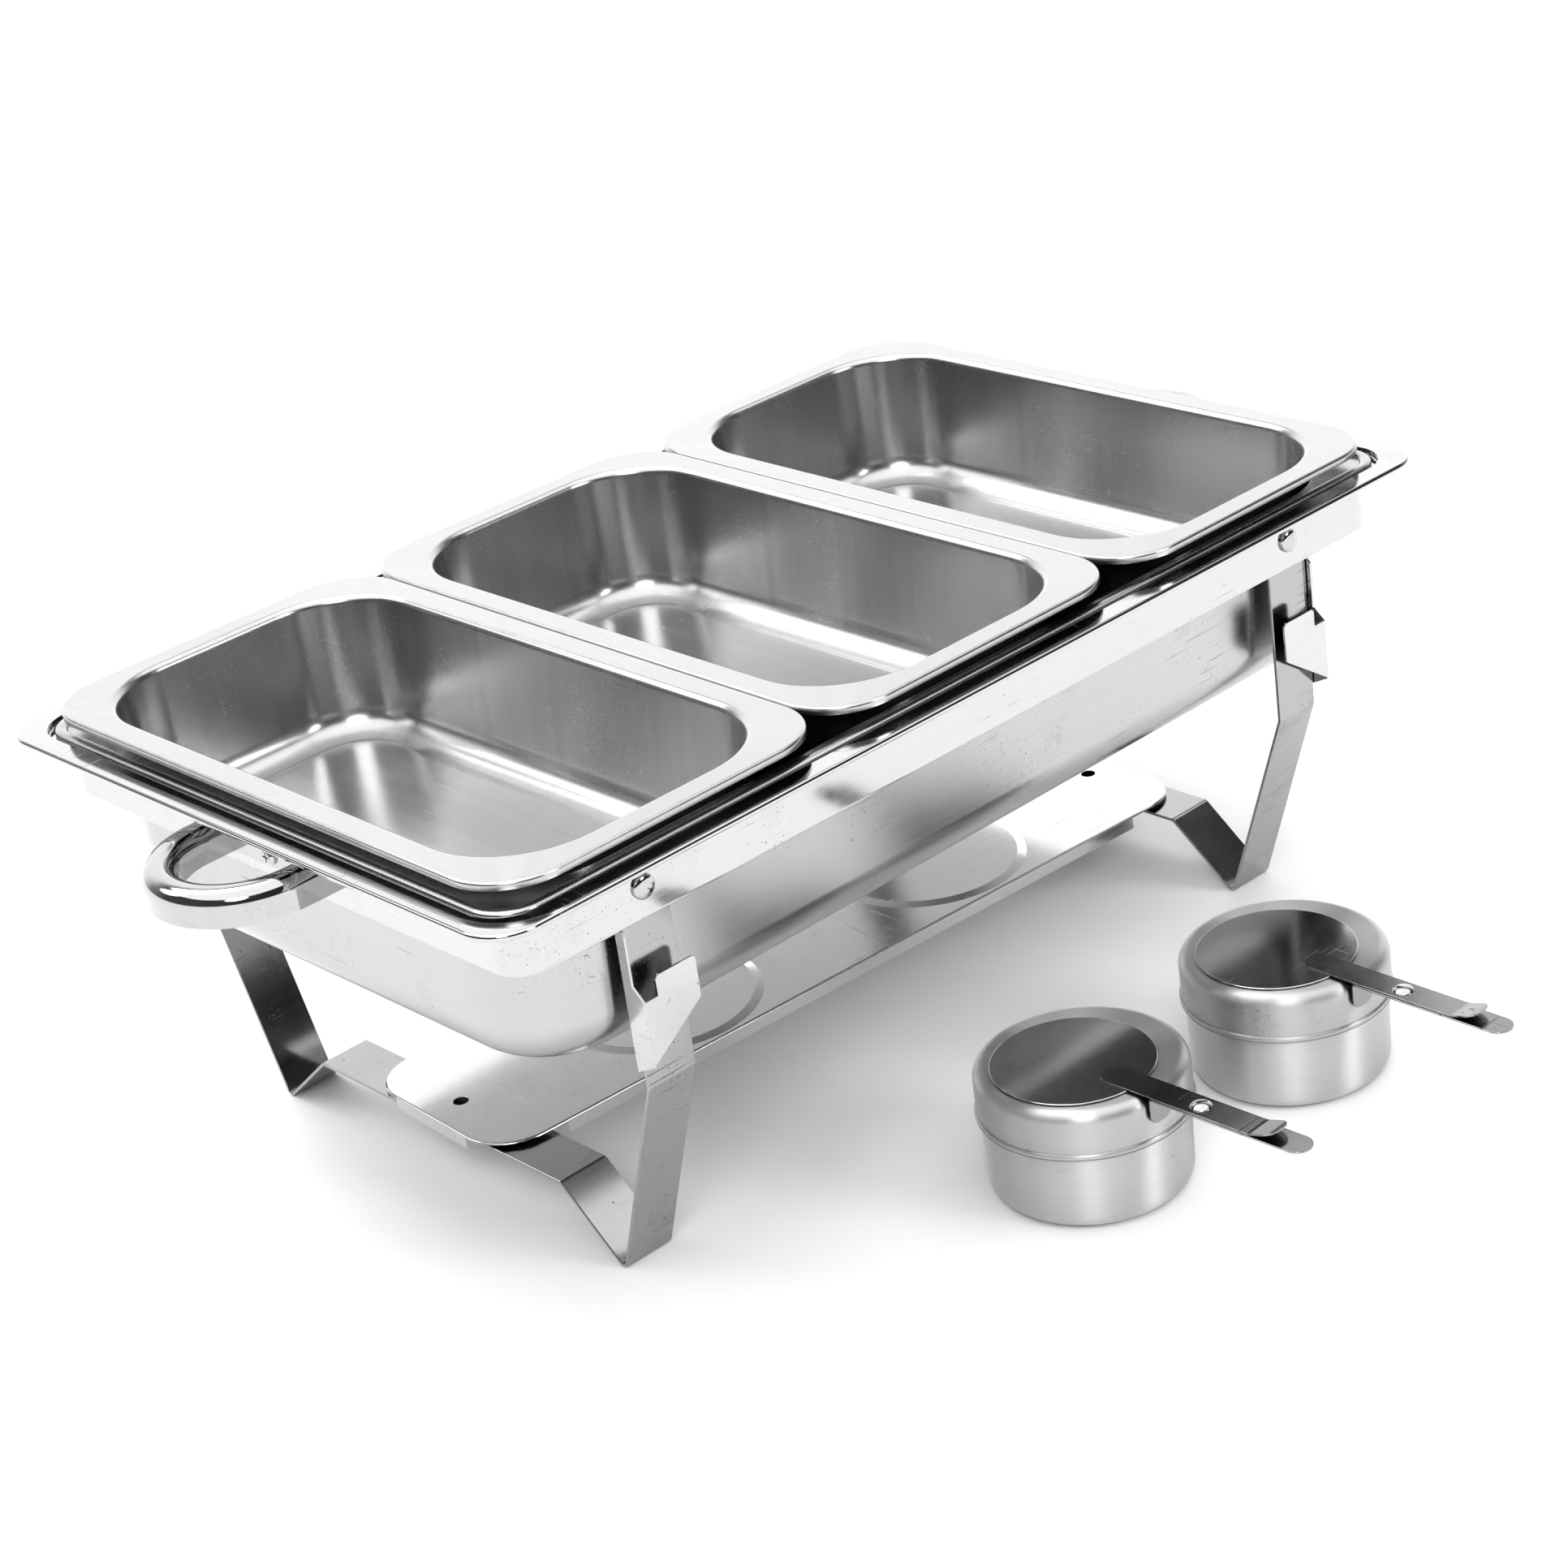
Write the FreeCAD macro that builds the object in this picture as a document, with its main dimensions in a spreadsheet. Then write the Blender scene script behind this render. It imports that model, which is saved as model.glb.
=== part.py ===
import FreeCAD, Part
import itertools
import math
import os
import Sketcher

# Chafing dish food warmer on folding legs, with a water pan, divided food pans,
# a shelf for the fuel and a pair of lidded fuel holders.
# X runs along the dish, Y across it, Z up from the table. Millimetres.

SIZES = {
    # rim frame
    "steel": 0.8,
    "rim_length": 556.0,
    "rim_width": 350.0,
    "rim_top": 202.5,
    "rim_corner": 20.0,
    "hem_depth": 2.5,
    "recess_length": 535.0,
    "recess_width": 329.0,
    "recess_corner": 19.0,
    "recess_depth": 3.0,
    "skirt_length": 518.0,
    "skirt_width": 318.0,
    "skirt_corner": 15.0,
    "skirt_bottom": 172.0,
    # folding legs, their rivets and their clips
    "pivot_spread": 195.0,
    "pivot_height": 185.5,
    "rivet_radius": 2.5,
    "rivet_hole": 2.55,
    "rivet_head_radius": 5.4,
    "rivet_head_height": 2.6,
    "strip_width": 25.0,
    "strip_thick": 1.5,
    "strip_corner": 8.0,
    "leg_spread": 157.05,
    "leg_top": 195.0,
    "knee_height": 101.0,
    "foot_spread": 120.0,
    "cross_spread": 85.0,
    "cross_height": 30.05,
    "clip_thick": 1.0,
    "clip_gap": 0.6,
    "clip_back": 155.0,
    "clip_front": 166.0,
    "clip_top": 197.0,
    # end handles
    "handle_arm": 13.5,
    "handle_bend": 42.0,
    "handle_bar": 15.0,
    "handle_top": 192.5,
    "handle_deep": 15.0,
    "handle_wall": 1.2,
    "handle_round": 6.5,
    "handle_screw_height": 183.0,
    "screw_radius": 2.0,
    "screw_head_radius": 4.2,
    # water pan
    "water_length": 530.0,
    "water_width": 325.0,
    "water_corner": 18.0,
    "bead_width": 5.5,
    "bead_height": 3.1,
    "body_length": 505.0,
    "body_width": 304.0,
    "body_corner": 45.0,
    "water_floor": 113.5,
    "water_taper": 2.0,
    "water_bottom_round": 22.0,
    # food pans
    "food_length": 325.0,
    "food_width": 175.6,
    "food_corner": 30.0,
    "food_top": 212.6,
    "food_lip": 3.4,
    "food_pitch": 176.4,
    "food_stagger": 1.0,
    "bowl_length": 299.0,
    "bowl_width": 149.0,
    "bowl_corner": 43.0,
    "food_floor": 147.6,
    "food_taper": 4.0,
    "food_bottom_round": 12.8,
    # fuel shelf
    "shelf_length": 421.0,
    "shelf_width": 103.0,
    "shelf_corner": 24.0,
    "shelf_top": 31.9,
    "shelf_lip": 6.5,
    "shelf_side_lip": 346.0,
    "shelf_end_lip": 53.0,
    "shelf_shift_x": 0.2,
    "shelf_shift_y": -10.0,
    "shelf_turn": -2.9,
    "pad_spread": 83.0,
    "pad_foot": 49.1,
    "pad_head": 44.6,
    "pad_rise": 0.9,
    "shelf_hole_spread": 194.0,
    "shelf_hole": 3.5,
    # fuel holders
    "can_foot": 43.2,
    "can_mouth": 44.5,
    "can_wall": 0.6,
    "can_height": 52.9,
    "can_round": 6.0,
    "lid_radius": 45.4,
    "lid_wall": 0.5,
    "lid_hem": 35.2,
    "lid_bead": 46.2,
    "lid_top": 56.5,
    "lid_round": 5.0,
    "lid_mouth": 30.0,
    "damper_radius": 34.9,
    "damper_low": 57.0,
    "handle_side": -4.5,
    "arm_width": 13.0,
    "arm_low": 57.6,
    "arm_thick": 0.7,
    "arm_inner": 17.0,
    "arm_outer": 96.2,
    "tab_reach": 11.5,
    "tab_rise": 3.3,
    "tab_corner": 4.5,
    "tab_plan": 40.0,
    "grip_low": 56.4,
    "grip_outer": 121.5,
    "damper_pivot": 67.5,
    "damper_pin": 2.0,
    "damper_hole": 2.05,
    "damper_head": 4.6,
    "damper_head_height": 1.6,
    "damper_head_round": 1.3,
    "damper_tail": 3.2,
    "rivet_gap": 0.05,
    # places on the table, from the dish's own centre
    "front_can_x": -41.6,
    "front_can_y": -231.4,
    "front_can_turn": 1.7,
    "back_can_x": 77.2,
    "back_can_y": -241.6,
    "back_can_turn": 0.3,
}

doc = FreeCAD.newDocument("chafing_dish")
numbers = itertools.count(1)
sheet = doc.addObject("Spreadsheet::Sheet", "Sizes")
for row, (name, number) in enumerate(SIZES.items(), start=1):
    sheet.set(f"A{row}", name)
    sheet.set(f"B{row}", str(number))
    sheet.setAlias(f"B{row}", name)
doc.recompute()


class Size:
    """A number together with the sheet expression that gives it."""

    def __init__(self, value, text):
        self.value = value
        self.text = text

    def __add__(self, other):
        other = as_size(other)
        return Size(self.value + other.value, f"({self.text} + {other.text})")

    def __sub__(self, other):
        other = as_size(other)
        return Size(self.value - other.value, f"({self.text} - {other.text})")

    def __mul__(self, other):
        other = as_size(other)
        return Size(self.value * other.value, f"({self.text} * {other.text})")

    def __truediv__(self, other):
        other = as_size(other)
        return Size(self.value / other.value, f"({self.text} / {other.text})")

    def __neg__(self):
        return Size(-self.value, f"(-1 * {self.text})")


def as_size(thing):
    """A Size from a Size, a sheet word or a plain number."""
    if isinstance(thing, Size):
        return thing
    if isinstance(thing, str):
        return Size(float(sheet.get(thing)), f"Sizes.{thing}")
    return Size(float(thing), f"({float(thing)})")


def bind(thing, path, size):
    """Drive one property of an object from the sheet."""
    thing.setExpression(path, as_size(size).text)


def place(thing, x=None, y=None, z=None, turn=None):
    """Drive the parts of an object's placement that are given."""
    for path, size in (("Base.x", x), ("Base.y", y), ("Base.z", z)):
        if size is not None:
            bind(thing, f"Placement.{path}", size)
    if turn is not None:
        thing.Placement.Rotation = FreeCAD.Rotation(FreeCAD.Vector(0, 0, 1), as_size(turn).value)
        bind(thing, "Placement.Rotation.Angle", turn)


def word(stem):
    """A fresh object name."""
    return f"{stem}_{next(numbers)}"


def polygon(points, plane="XY"):
    """A closed sketch through points given as pairs of sizes."""
    sketch = doc.addObject("Sketcher::SketchObject", word("outline"))
    turns = {
        "XY": FreeCAD.Rotation(0, 0, 0),
        "XZ": FreeCAD.Rotation(FreeCAD.Vector(1, 0, 0), 90),
        "YZ": FreeCAD.Rotation(FreeCAD.Vector(1, 1, 1), 120),
    }
    sketch.Placement = FreeCAD.Placement(FreeCAD.Vector(0, 0, 0), turns[plane])
    pairs = [(as_size(a), as_size(b)) for a, b in points]
    corners = [FreeCAD.Vector(a.value, b.value, 0) for a, b in pairs]
    count = len(corners)
    for index in range(count):
        sketch.addGeometry(Part.LineSegment(corners[index], corners[(index + 1) % count]), False)
    for index in range(count):
        sketch.addConstraint(Sketcher.Constraint("Coincident", index, 2, (index + 1) % count, 1))
    for index, (a, b) in enumerate(pairs):
        for kind, size in (("DistanceX", a), ("DistanceY", b)):
            number = sketch.addConstraint(Sketcher.Constraint(kind, -1, 1, index, 1, size.value))
            sketch.setExpression(f"Constraints[{number}]", size.text)
    return sketch


def path(points, plane="YZ"):
    """An open sketch line through points given as pairs of sizes."""
    sketch = doc.addObject("Sketcher::SketchObject", word("path"))
    if plane == "YZ":
        sketch.Placement = FreeCAD.Placement(
            FreeCAD.Vector(0, 0, 0), FreeCAD.Rotation(FreeCAD.Vector(1, 1, 1), 120)
        )
    pairs = [(as_size(a), as_size(b)) for a, b in points]
    corners = [FreeCAD.Vector(a.value, b.value, 0) for a, b in pairs]
    for index in range(len(corners) - 1):
        sketch.addGeometry(Part.LineSegment(corners[index], corners[index + 1]), False)
        if index:
            sketch.addConstraint(Sketcher.Constraint("Coincident", index - 1, 2, index, 1))
    for index, (a, b) in enumerate(pairs):
        edge, end = (index, 1) if index < len(pairs) - 1 else (index - 1, 2)
        for kind, size in (("DistanceX", a), ("DistanceY", b)):
            number = sketch.addConstraint(Sketcher.Constraint(kind, -1, 1, edge, end, size.value))
            sketch.setExpression(f"Constraints[{number}]", size.text)
    return sketch


def rounded_outline(length, width, corner):
    """A sketch of a rectangle with round corners, centred on the origin."""
    length, width, corner = as_size(length), as_size(width), as_size(corner)
    sketch = doc.addObject("Sketcher::SketchObject", word("rounded"))
    half_x, half_y, bend = length.value / 2, width.value / 2, corner.value
    quarter = math.pi / 2
    signs = ((1, -1), (1, 1), (-1, 1), (-1, -1))
    for index, (sx, sy) in enumerate(signs):
        centre = FreeCAD.Vector(sx * (half_x - bend), sy * (half_y - bend), 0)
        circle = Part.Circle(centre, FreeCAD.Vector(0, 0, 1), bend)
        start = (index - 1) * quarter
        sketch.addGeometry(Part.ArcOfCircle(circle, start, start + quarter), False)
    for index in range(4):
        start = sketch.getPoint(index, 2)
        end = sketch.getPoint((index + 1) % 4, 1)
        sketch.addGeometry(Part.LineSegment(start, end), False)
    for index in range(4):
        sketch.addConstraint(Sketcher.Constraint("Tangent", index, 2, 4 + index, 1))
        sketch.addConstraint(Sketcher.Constraint("Tangent", 4 + index, 2, (index + 1) % 4, 1))
    sketch.addConstraint(Sketcher.Constraint("Vertical", 4))
    sketch.addConstraint(Sketcher.Constraint("Horizontal", 5))
    for index in range(1, 4):
        sketch.addConstraint(Sketcher.Constraint("Equal", 0, index))
    sketch.addConstraint(Sketcher.Constraint("Symmetric", 0, 3, 2, 3, -1, 1))
    bends = sketch.addConstraint(Sketcher.Constraint("Radius", 0, bend))
    sketch.setExpression(f"Constraints[{bends}]", corner.text)
    across = sketch.addConstraint(Sketcher.Constraint("DistanceX", -1, 1, 4, 1, half_x))
    sketch.setExpression(f"Constraints[{across}]", (length / 2).text)
    along = sketch.addConstraint(Sketcher.Constraint("DistanceY", -1, 1, 5, 1, half_y))
    sketch.setExpression(f"Constraints[{along}]", (width / 2).text)
    return sketch


def extrude(sketch, direction, start, length, taper=None):
    """A solid from a sketch, starting at a distance along the direction."""
    solid = doc.addObject("Part::Extrusion", word("solid"))
    solid.Base = sketch
    solid.DirMode = "Custom"
    solid.Dir = FreeCAD.Vector(*direction)
    solid.Solid = True
    bind(solid, "LengthFwd", length)
    if taper is not None:
        bind(solid, "TaperAngle", taper)
    axis = "xyz"[[abs(part) for part in direction].index(1)]
    sign = sum(direction)
    bind(solid, f"Placement.Base.{axis}", as_size(start) * sign)
    return solid


def rounded_block(length, width, corner, low, high):
    """A rounded rectangular block between two heights."""
    return extrude(rounded_outline(length, width, corner), (0, 0, 1), low, as_size(high) - low)


def box(x, y, z, length, width, height):
    """A plain block with its low corner at x, y, z."""
    solid = doc.addObject("Part::Box", word("block"))
    for name, size in (("Length", length), ("Width", width), ("Height", height)):
        bind(solid, name, size)
    place(solid, x, y, z)
    return solid


def cylinder(radius, height, x=0, y=0, z=0, axis="Z"):
    """A round bar whose low end is at x, y, z."""
    solid = doc.addObject("Part::Cylinder", word("round"))
    bind(solid, "Radius", radius)
    bind(solid, "Height", height)
    if axis == "Y":
        solid.Placement.Rotation = FreeCAD.Rotation(FreeCAD.Vector(1, 0, 0), -90)
    if axis == "X":
        solid.Placement.Rotation = FreeCAD.Rotation(FreeCAD.Vector(0, 1, 0), 90)
    place(solid, x, y, z)
    return solid


def cone(low_radius, high_radius, height, x=0, y=0, z=0):
    """A round taper standing on x, y, z."""
    solid = doc.addObject("Part::Cone", word("taper"))
    bind(solid, "Radius1", low_radius)
    bind(solid, "Radius2", high_radius)
    bind(solid, "Height", height)
    place(solid, x, y, z)
    return solid


def revolve(points):
    """A solid turned about Z from points given as radius and height."""
    solid = doc.addObject("Part::Revolution", word("turned"))
    solid.Source = polygon(points, "XZ")
    solid.Axis = FreeCAD.Vector(0, 0, 1)
    solid.Base = FreeCAD.Vector(0, 0, 0)
    solid.Angle = 360
    solid.Solid = True
    return solid


def join(*solids):
    """One solid out of several that touch."""
    result = doc.addObject("Part::MultiFuse", word("joined"))
    result.Shapes = list(solids)
    result.Refine = True
    return result


def cut(solid, *tools):
    """A solid with others taken away."""
    result = doc.addObject("Part::Cut", word("cut"))
    result.Base = solid
    result.Tool = tools[0] if len(tools) == 1 else join(*tools)
    result.Refine = True
    return result


def overlap(*solids):
    """What several solids have in common."""
    result = doc.addObject("Part::MultiCommon", word("overlap"))
    result.Shapes = list(solids)
    return result


def group(*solids):
    """Separate solids kept together under one name."""
    result = doc.addObject("Part::Compound", word("group"))
    result.Links = list(solids)
    return result


def soften(solid, radius, wanted):
    """Round every edge for which wanted(edge) is true."""
    doc.recompute()
    edges = [number for number, edge in enumerate(solid.Shape.Edges, start=1) if wanted(edge)]
    result = doc.addObject("Part::Fillet", word("soft"))
    result.Base = solid
    result.Edges = [(number, as_size(radius).value, as_size(radius).value) for number in edges]
    doc.recompute()
    return result


def flat_at(height, test=None):
    """A test for edges that lie level at a height."""
    level = as_size(height).value

    def check(edge):
        bounds = edge.BoundBox
        if bounds.ZMax - bounds.ZMin > 0.01 or abs(bounds.ZMin - level) > 0.01:
            return False
        return test is None or test(edge)

    return check


def reach(edge):
    """How far an edge's middle lies from the dish's own centre, as |x| and |y|."""
    middle = edge.valueAt((edge.FirstParameter + edge.LastParameter) / 2)
    return abs(middle.x), abs(middle.y)


def within(length, width, slack=0.6):
    """A test for edges on the outline of a rounded rectangle of this size."""
    half_x, half_y = as_size(length).value / 2, as_size(width).value / 2

    def check(edge):
        bounds = edge.BoundBox
        far_x = max(abs(bounds.XMin), abs(bounds.XMax))
        far_y = max(abs(bounds.YMin), abs(bounds.YMax))
        return abs(far_x - half_x) < slack or abs(far_y - half_y) < slack

    return check


def round_at(radius, height):
    """A test for circles of one radius at one height."""
    size, level = as_size(radius).value, as_size(height).value

    def check(edge):
        curve = edge.Curve
        if not isinstance(curve, Part.Circle):
            return False
        return abs(curve.Radius - size) < 0.02 and abs(curve.Center.z - level) < 0.02

    return check


nodes = {}


def finish(solid, label, x=None, y=None, z=None, turn=None):
    """Give a finished piece its name and its place."""
    place(solid, x, y, z, turn)
    solid.Label = label
    nodes[label] = solid


def size(name):
    return as_size(name)


# the dish stands back so that the whole set, fuel holders included, is centred
DISH_Y = (size("grip_outer") - "back_can_y" - size("rim_width") / 2) / 2


def rim_frame():
    """Pressed rim: hemmed flange, recess for the pan, ledge and hanging skirt."""
    steel = size("steel")
    top = size("rim_top")
    ledge = top - "recess_depth"
    flange = rounded_block("rim_length", "rim_width", "rim_corner", top - "hem_depth", top)
    flange = soften(flange, 1.2, flat_at(top))
    tray = rounded_block(
        size("recess_length") + steel * 2, size("recess_width") + steel * 2,
        size("recess_corner") + steel, ledge - steel, top - steel / 2,
    )
    under = cut(
        rounded_block(
            size("rim_length") - steel * 2, size("rim_width") - steel * 2,
            size("rim_corner") - steel, top - "hem_depth" - 1, top - steel,
        ),
        rounded_block(
            size("recess_length") + steel * 2, size("recess_width") + steel * 2,
            size("recess_corner") + steel, top - "hem_depth" - 2, top,
        ),
    )
    skirt = rounded_block("skirt_length", "skirt_width", "skirt_corner", "skirt_bottom", ledge)
    well = rounded_block("recess_length", "recess_width", "recess_corner", ledge, top + 1)
    throat = rounded_block(
        size("skirt_length") - steel * 2, size("skirt_width") - steel * 2,
        size("skirt_corner") - steel, size("skirt_bottom") - 1, top + 1,
    )
    shell = cut(cut(join(flange, tray), under), well)
    shell = cut(join(shell, skirt), throat)
    shell = soften(shell, 2.1, flat_at(top, within("recess_length", "recess_width")))
    shell = soften(
        shell, 1.2,
        flat_at(ledge, within(size("skirt_length") - steel * 2, size("skirt_width") - steel * 2)),
    )
    pivot_holes = [
        cylinder("rivet_hole", 6, size("pivot_spread") * side, size("skirt_width") / 2 * end - 3,
                 "pivot_height", "Y")
        for side in (-1, 1) for end in (-1, 1)
    ]
    screw_holes = [
        cylinder(size("screw_radius") + 0.05, 6, size("skirt_length") / 2 * side - 3, 0,
                 "handle_screw_height", "X")
        for side in (-1, 1)
    ]
    finish(cut(shell, *pivot_holes, *screw_holes), "rim_frame", y=DISH_Y)


def pivot_rivets():
    """Domed rivets that the leg frames swing on."""
    rivets = []
    for side in (-1, 1):
        for end in (-1, 1):
            face = size("skirt_width") / 2 + 0.1
            head = revolve([
                (0, 0), ("rivet_head_radius", 0), ("rivet_head_radius", 0.6),
                (size("rivet_head_radius") * 0.72, size("rivet_head_height") * 0.8),
                (size("rivet_head_radius") * 0.4, "rivet_head_height"), (0, "rivet_head_height"),
            ])
            head = soften(head, 1.2, round_at(size("rivet_head_radius") * 0.72,
                                              size("rivet_head_height") * 0.8))
            shank = cylinder("rivet_radius", face - "clip_back" + 1.2, 0, 0,
                             size("clip_back") - face - 1.2)
            tail = cylinder(4.0, 1.0, 0, 0, size("clip_back") - face - 1.3)
            rivet = join(head, shank, tail)
            rivet.Placement.Rotation = FreeCAD.Rotation(FreeCAD.Vector(1, 0, 0), -90 * end)
            place(rivet, size("pivot_spread") * side, face * end, "pivot_height")
            rivets.append(rivet)
    finish(group(*rivets), "leg_pivot_rivets", y=DISH_Y)


def leg_frame(label, side):
    """One bent strip that makes a front leg, a cross strip and a back leg."""
    half = size("strip_thick") / 2
    right = [
        ("leg_spread", "leg_top"), ("leg_spread", "knee_height"),
        ("foot_spread", half), ("cross_spread", "cross_height"),
    ]
    left = [(-size(spread), height) for spread, height in reversed(right)]
    ribbon = doc.addObject("Part::Offset2D", word("ribbon"))
    ribbon.Source = path(right + left)
    ribbon.Join = "Arc"
    ribbon.Mode = "Pipe"
    ribbon.Fill = True
    ribbon.Value = half.value
    bind(ribbon, "Value", half)
    strip = extrude(ribbon, (1, 0, 0), -size("strip_width") / 2, "strip_width")
    doc.recompute()
    # the ribbon's ends come out round, so they are cut off square at the leg top
    trim = box(-20, -200, "leg_top", 40, 400, 20)
    strip = cut(strip, trim)

    def top_corner(edge):
        bounds = edge.BoundBox
        across = bounds.YMax - bounds.YMin > 1.0
        level = bounds.ZMax - bounds.ZMin < 0.01 and bounds.XMax - bounds.XMin < 0.01
        return across and level and abs(bounds.ZMin - size("leg_top").value) < 0.01

    strip = soften(strip, "strip_corner", top_corner)
    holes = [
        cylinder("rivet_hole", 6, 0, size("leg_spread") * end - 3, "pivot_height", "Y")
        for end in (-1, 1)
    ]
    finish(cut(strip, *holes), label, x=size("pivot_spread") * side, y=DISH_Y)


def leg_bracket(label, side, end):
    """Clip that stops a leg: back plate, outer wall and a front flag with a cut corner."""
    thick = size("clip_thick")
    inner_face = size("pivot_spread") + size("strip_width") / 2 + "clip_gap"
    outer_face = inner_face + thick
    back, front = size("clip_back"), size("clip_front")
    free_edge = size("pivot_spread") - size("strip_width") / 2 - 1.8

    def spot(x, z):
        return (size(x) * side, z)

    plate = extrude(
        polygon([
            spot(outer_face, 108), spot(outer_face, "clip_top"),
            spot(free_edge + 3.5, "clip_top"), spot(free_edge + 3.5, 127),
        ], "XZ"),
        (0, -1, 0), 0, thick,
    )
    flag = extrude(
        polygon([
            spot(outer_face, 113), spot(outer_face, 142), spot(outer_face - 7.5, 142),
            spot(outer_face - 7.5, 150.8), spot(free_edge, 150.8), spot(free_edge, 132.2),
        ], "XZ"),
        (0, -1, 0), 0, thick,
    )

    def upright_at(x, z):
        def check(edge):
            bounds = edge.BoundBox
            flat = bounds.XMax - bounds.XMin < 0.01 and bounds.ZMax - bounds.ZMin < 0.01
            return flat and abs(abs(bounds.XMin) - x.value) < 0.01 and abs(bounds.ZMin - z) < 0.01
        return check

    corners = [(outer_face - 7.5, 150.8), (free_edge, 150.8), (free_edge, 132.2)]
    flag = soften(flag, 2.2, lambda edge: any(upright_at(x, z)(edge) for x, z in corners))
    for piece, far in ((plate, back + thick), (flag, front)):
        place(piece, y=far if end > 0 else thick - far)
    wall = extrude(
        polygon([
            (back * end, 107.6), (back * end, "clip_top"), ((back + 2.9) * end, "clip_top"),
            ((back + 2.9) * end, 171.5), ((back + 5) * end, 169.5), ((back + 5) * end, 147.5),
            (front * end, 142), (front * end, 113),
        ], "YZ"),
        (1, 0, 0), inner_face if side > 0 else -outer_face, thick,
    )
    clip = join(plate, flag, wall)
    hole = cylinder("rivet_hole", 6, size("pivot_spread") * side, back * end - 3,
                    "pivot_height", "Y")
    finish(cut(clip, hole), label, y=DISH_Y)


def end_handle(label, side):
    """Loop handle pressed as an upturned channel, with a strap for its screw."""
    bar, wall, bend = size("handle_bar"), size("handle_wall"), size("handle_bend")
    top, deep = size("handle_top"), size("handle_deep")
    low = top - deep

    def loop(radius, start, height):
        arms = box(0, -radius, start, "handle_arm", radius * 2, height)
        return join(arms, cylinder(radius, height, "handle_arm", 0, start))

    rail = soften(cut(loop(bend, low, deep), loop(bend - bar, low - 1, deep + 2)),
                  "handle_round", flat_at(top, lambda edge: edge.BoundBox.XMax > 0.1))
    channel = cut(loop(bend - wall, low - 1, deep - 4), loop(bend - bar + wall, low - 2, deep - 2))
    behind = box(-60, -60, low - 5, 60, 120, deep + 10)
    strap = box(0, -bend + bar / 2, size("handle_screw_height") - 5.5, wall, (bend - bar / 2) * 2, 11)
    hole = cylinder(size("screw_radius") + 0.05, 6, -3, 0, "handle_screw_height", "X")
    piece = cut(join(cut(rail, channel, behind), strap), hole)
    finish(piece, label, x=size("skirt_length") / 2 * side, y=DISH_Y, turn=0 if side > 0 else 180)


def handle_screws():
    """Pan-head cross-slot screws that hold the handles."""
    screws = []
    height = size("handle_screw_height")
    for side in (-1, 1):
        face = size("skirt_length") / 2 + "handle_wall"
        head = revolve([
            (0, 0), ("screw_head_radius", 0), ("screw_head_radius", 1.0),
            (size("screw_head_radius") * 0.6, 2.2), (0, 2.2),
        ])
        head = soften(head, 0.8, round_at(size("screw_head_radius") * 0.6, 2.2))
        shank = cylinder("screw_radius", 7, 0, 0, -7)
        nut = cylinder(3.6, 2.4, 0, 0, -4.6)
        slots = [box(-2.2, -0.4, 1.3, 4.4, 0.8, 2), box(-0.4, -2.2, 1.3, 0.8, 4.4, 2)]
        screw = cut(join(head, shank, nut), *slots)
        screw.Placement.Rotation = FreeCAD.Rotation(FreeCAD.Vector(0, 1, 0), 90 * side)
        place(screw, face * side, 0, height)
        screws.append(screw)
    finish(group(*screws), "handle_screws", y=DISH_Y)


def drawn_tray(length, width, corner, low, high, taper, bottom_round):
    """The outside of a deep-drawn tray, wide at the top."""
    low, high = as_size(low), as_size(high)
    solid = extrude(rounded_outline(length, width, corner), (0, 0, -1), 0, high - low, -as_size(taper))
    place(solid, z=high)
    return soften(solid, bottom_round, flat_at(low))


def drawn_pan(flange, corner, lip_low, lip_round, bowl, bowl_corner, floor, top, taper, bottom_round):
    """A flanged pan: plate with a turned edge, and a bowl of even wall."""
    steel = size("steel")
    length, width = flange
    bowl_length, bowl_width = bowl
    plate = rounded_block(length, width, corner, lip_low, top)
    plate = soften(plate, lip_round, flat_at(top))
    under = rounded_block(
        as_size(length) - steel * 2, as_size(width) - steel * 2, as_size(corner) - steel,
        as_size(lip_low) - 1, as_size(top) - steel,
    )
    outside = drawn_tray(
        bowl_length, bowl_width, bowl_corner, floor, as_size(top) - steel / 2, taper, bottom_round
    )
    inside = drawn_tray(
        as_size(bowl_length) - steel * 2, as_size(bowl_width) - steel * 2,
        as_size(bowl_corner) - steel, as_size(floor) + steel, as_size(top) + 0.5, taper,
        as_size(bottom_round) - steel,
    )
    return cut(join(cut(plate, under), outside), inside)


def water_pan():
    """Full-size water pan with a raised bead round its edge."""
    ledge_top = size("rim_top") - "recess_depth" + 1.3
    bead_low = size("rim_top") - "recess_depth" + 0.3
    pan = drawn_pan(
        ("water_length", "water_width"), "water_corner", bead_low, 0.4,
        ("body_length", "body_width"), "body_corner", "water_floor", ledge_top,
        "water_taper", "water_bottom_round",
    )
    bead = cut(
        rounded_block("water_length", "water_width", "water_corner", bead_low, bead_low + "bead_height"),
        rounded_block(
            size("water_length") - size("bead_width") * 2, size("water_width") - size("bead_width") * 2,
            size("water_corner") - size("bead_width") + 3, bead_low - 1,
            bead_low + size("bead_height") + 1,
        ),
    )
    bead = soften(bead, 1.5, flat_at(bead_low + "bead_height"))
    finish(join(pan, bead), "water_pan", y=DISH_Y)


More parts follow.
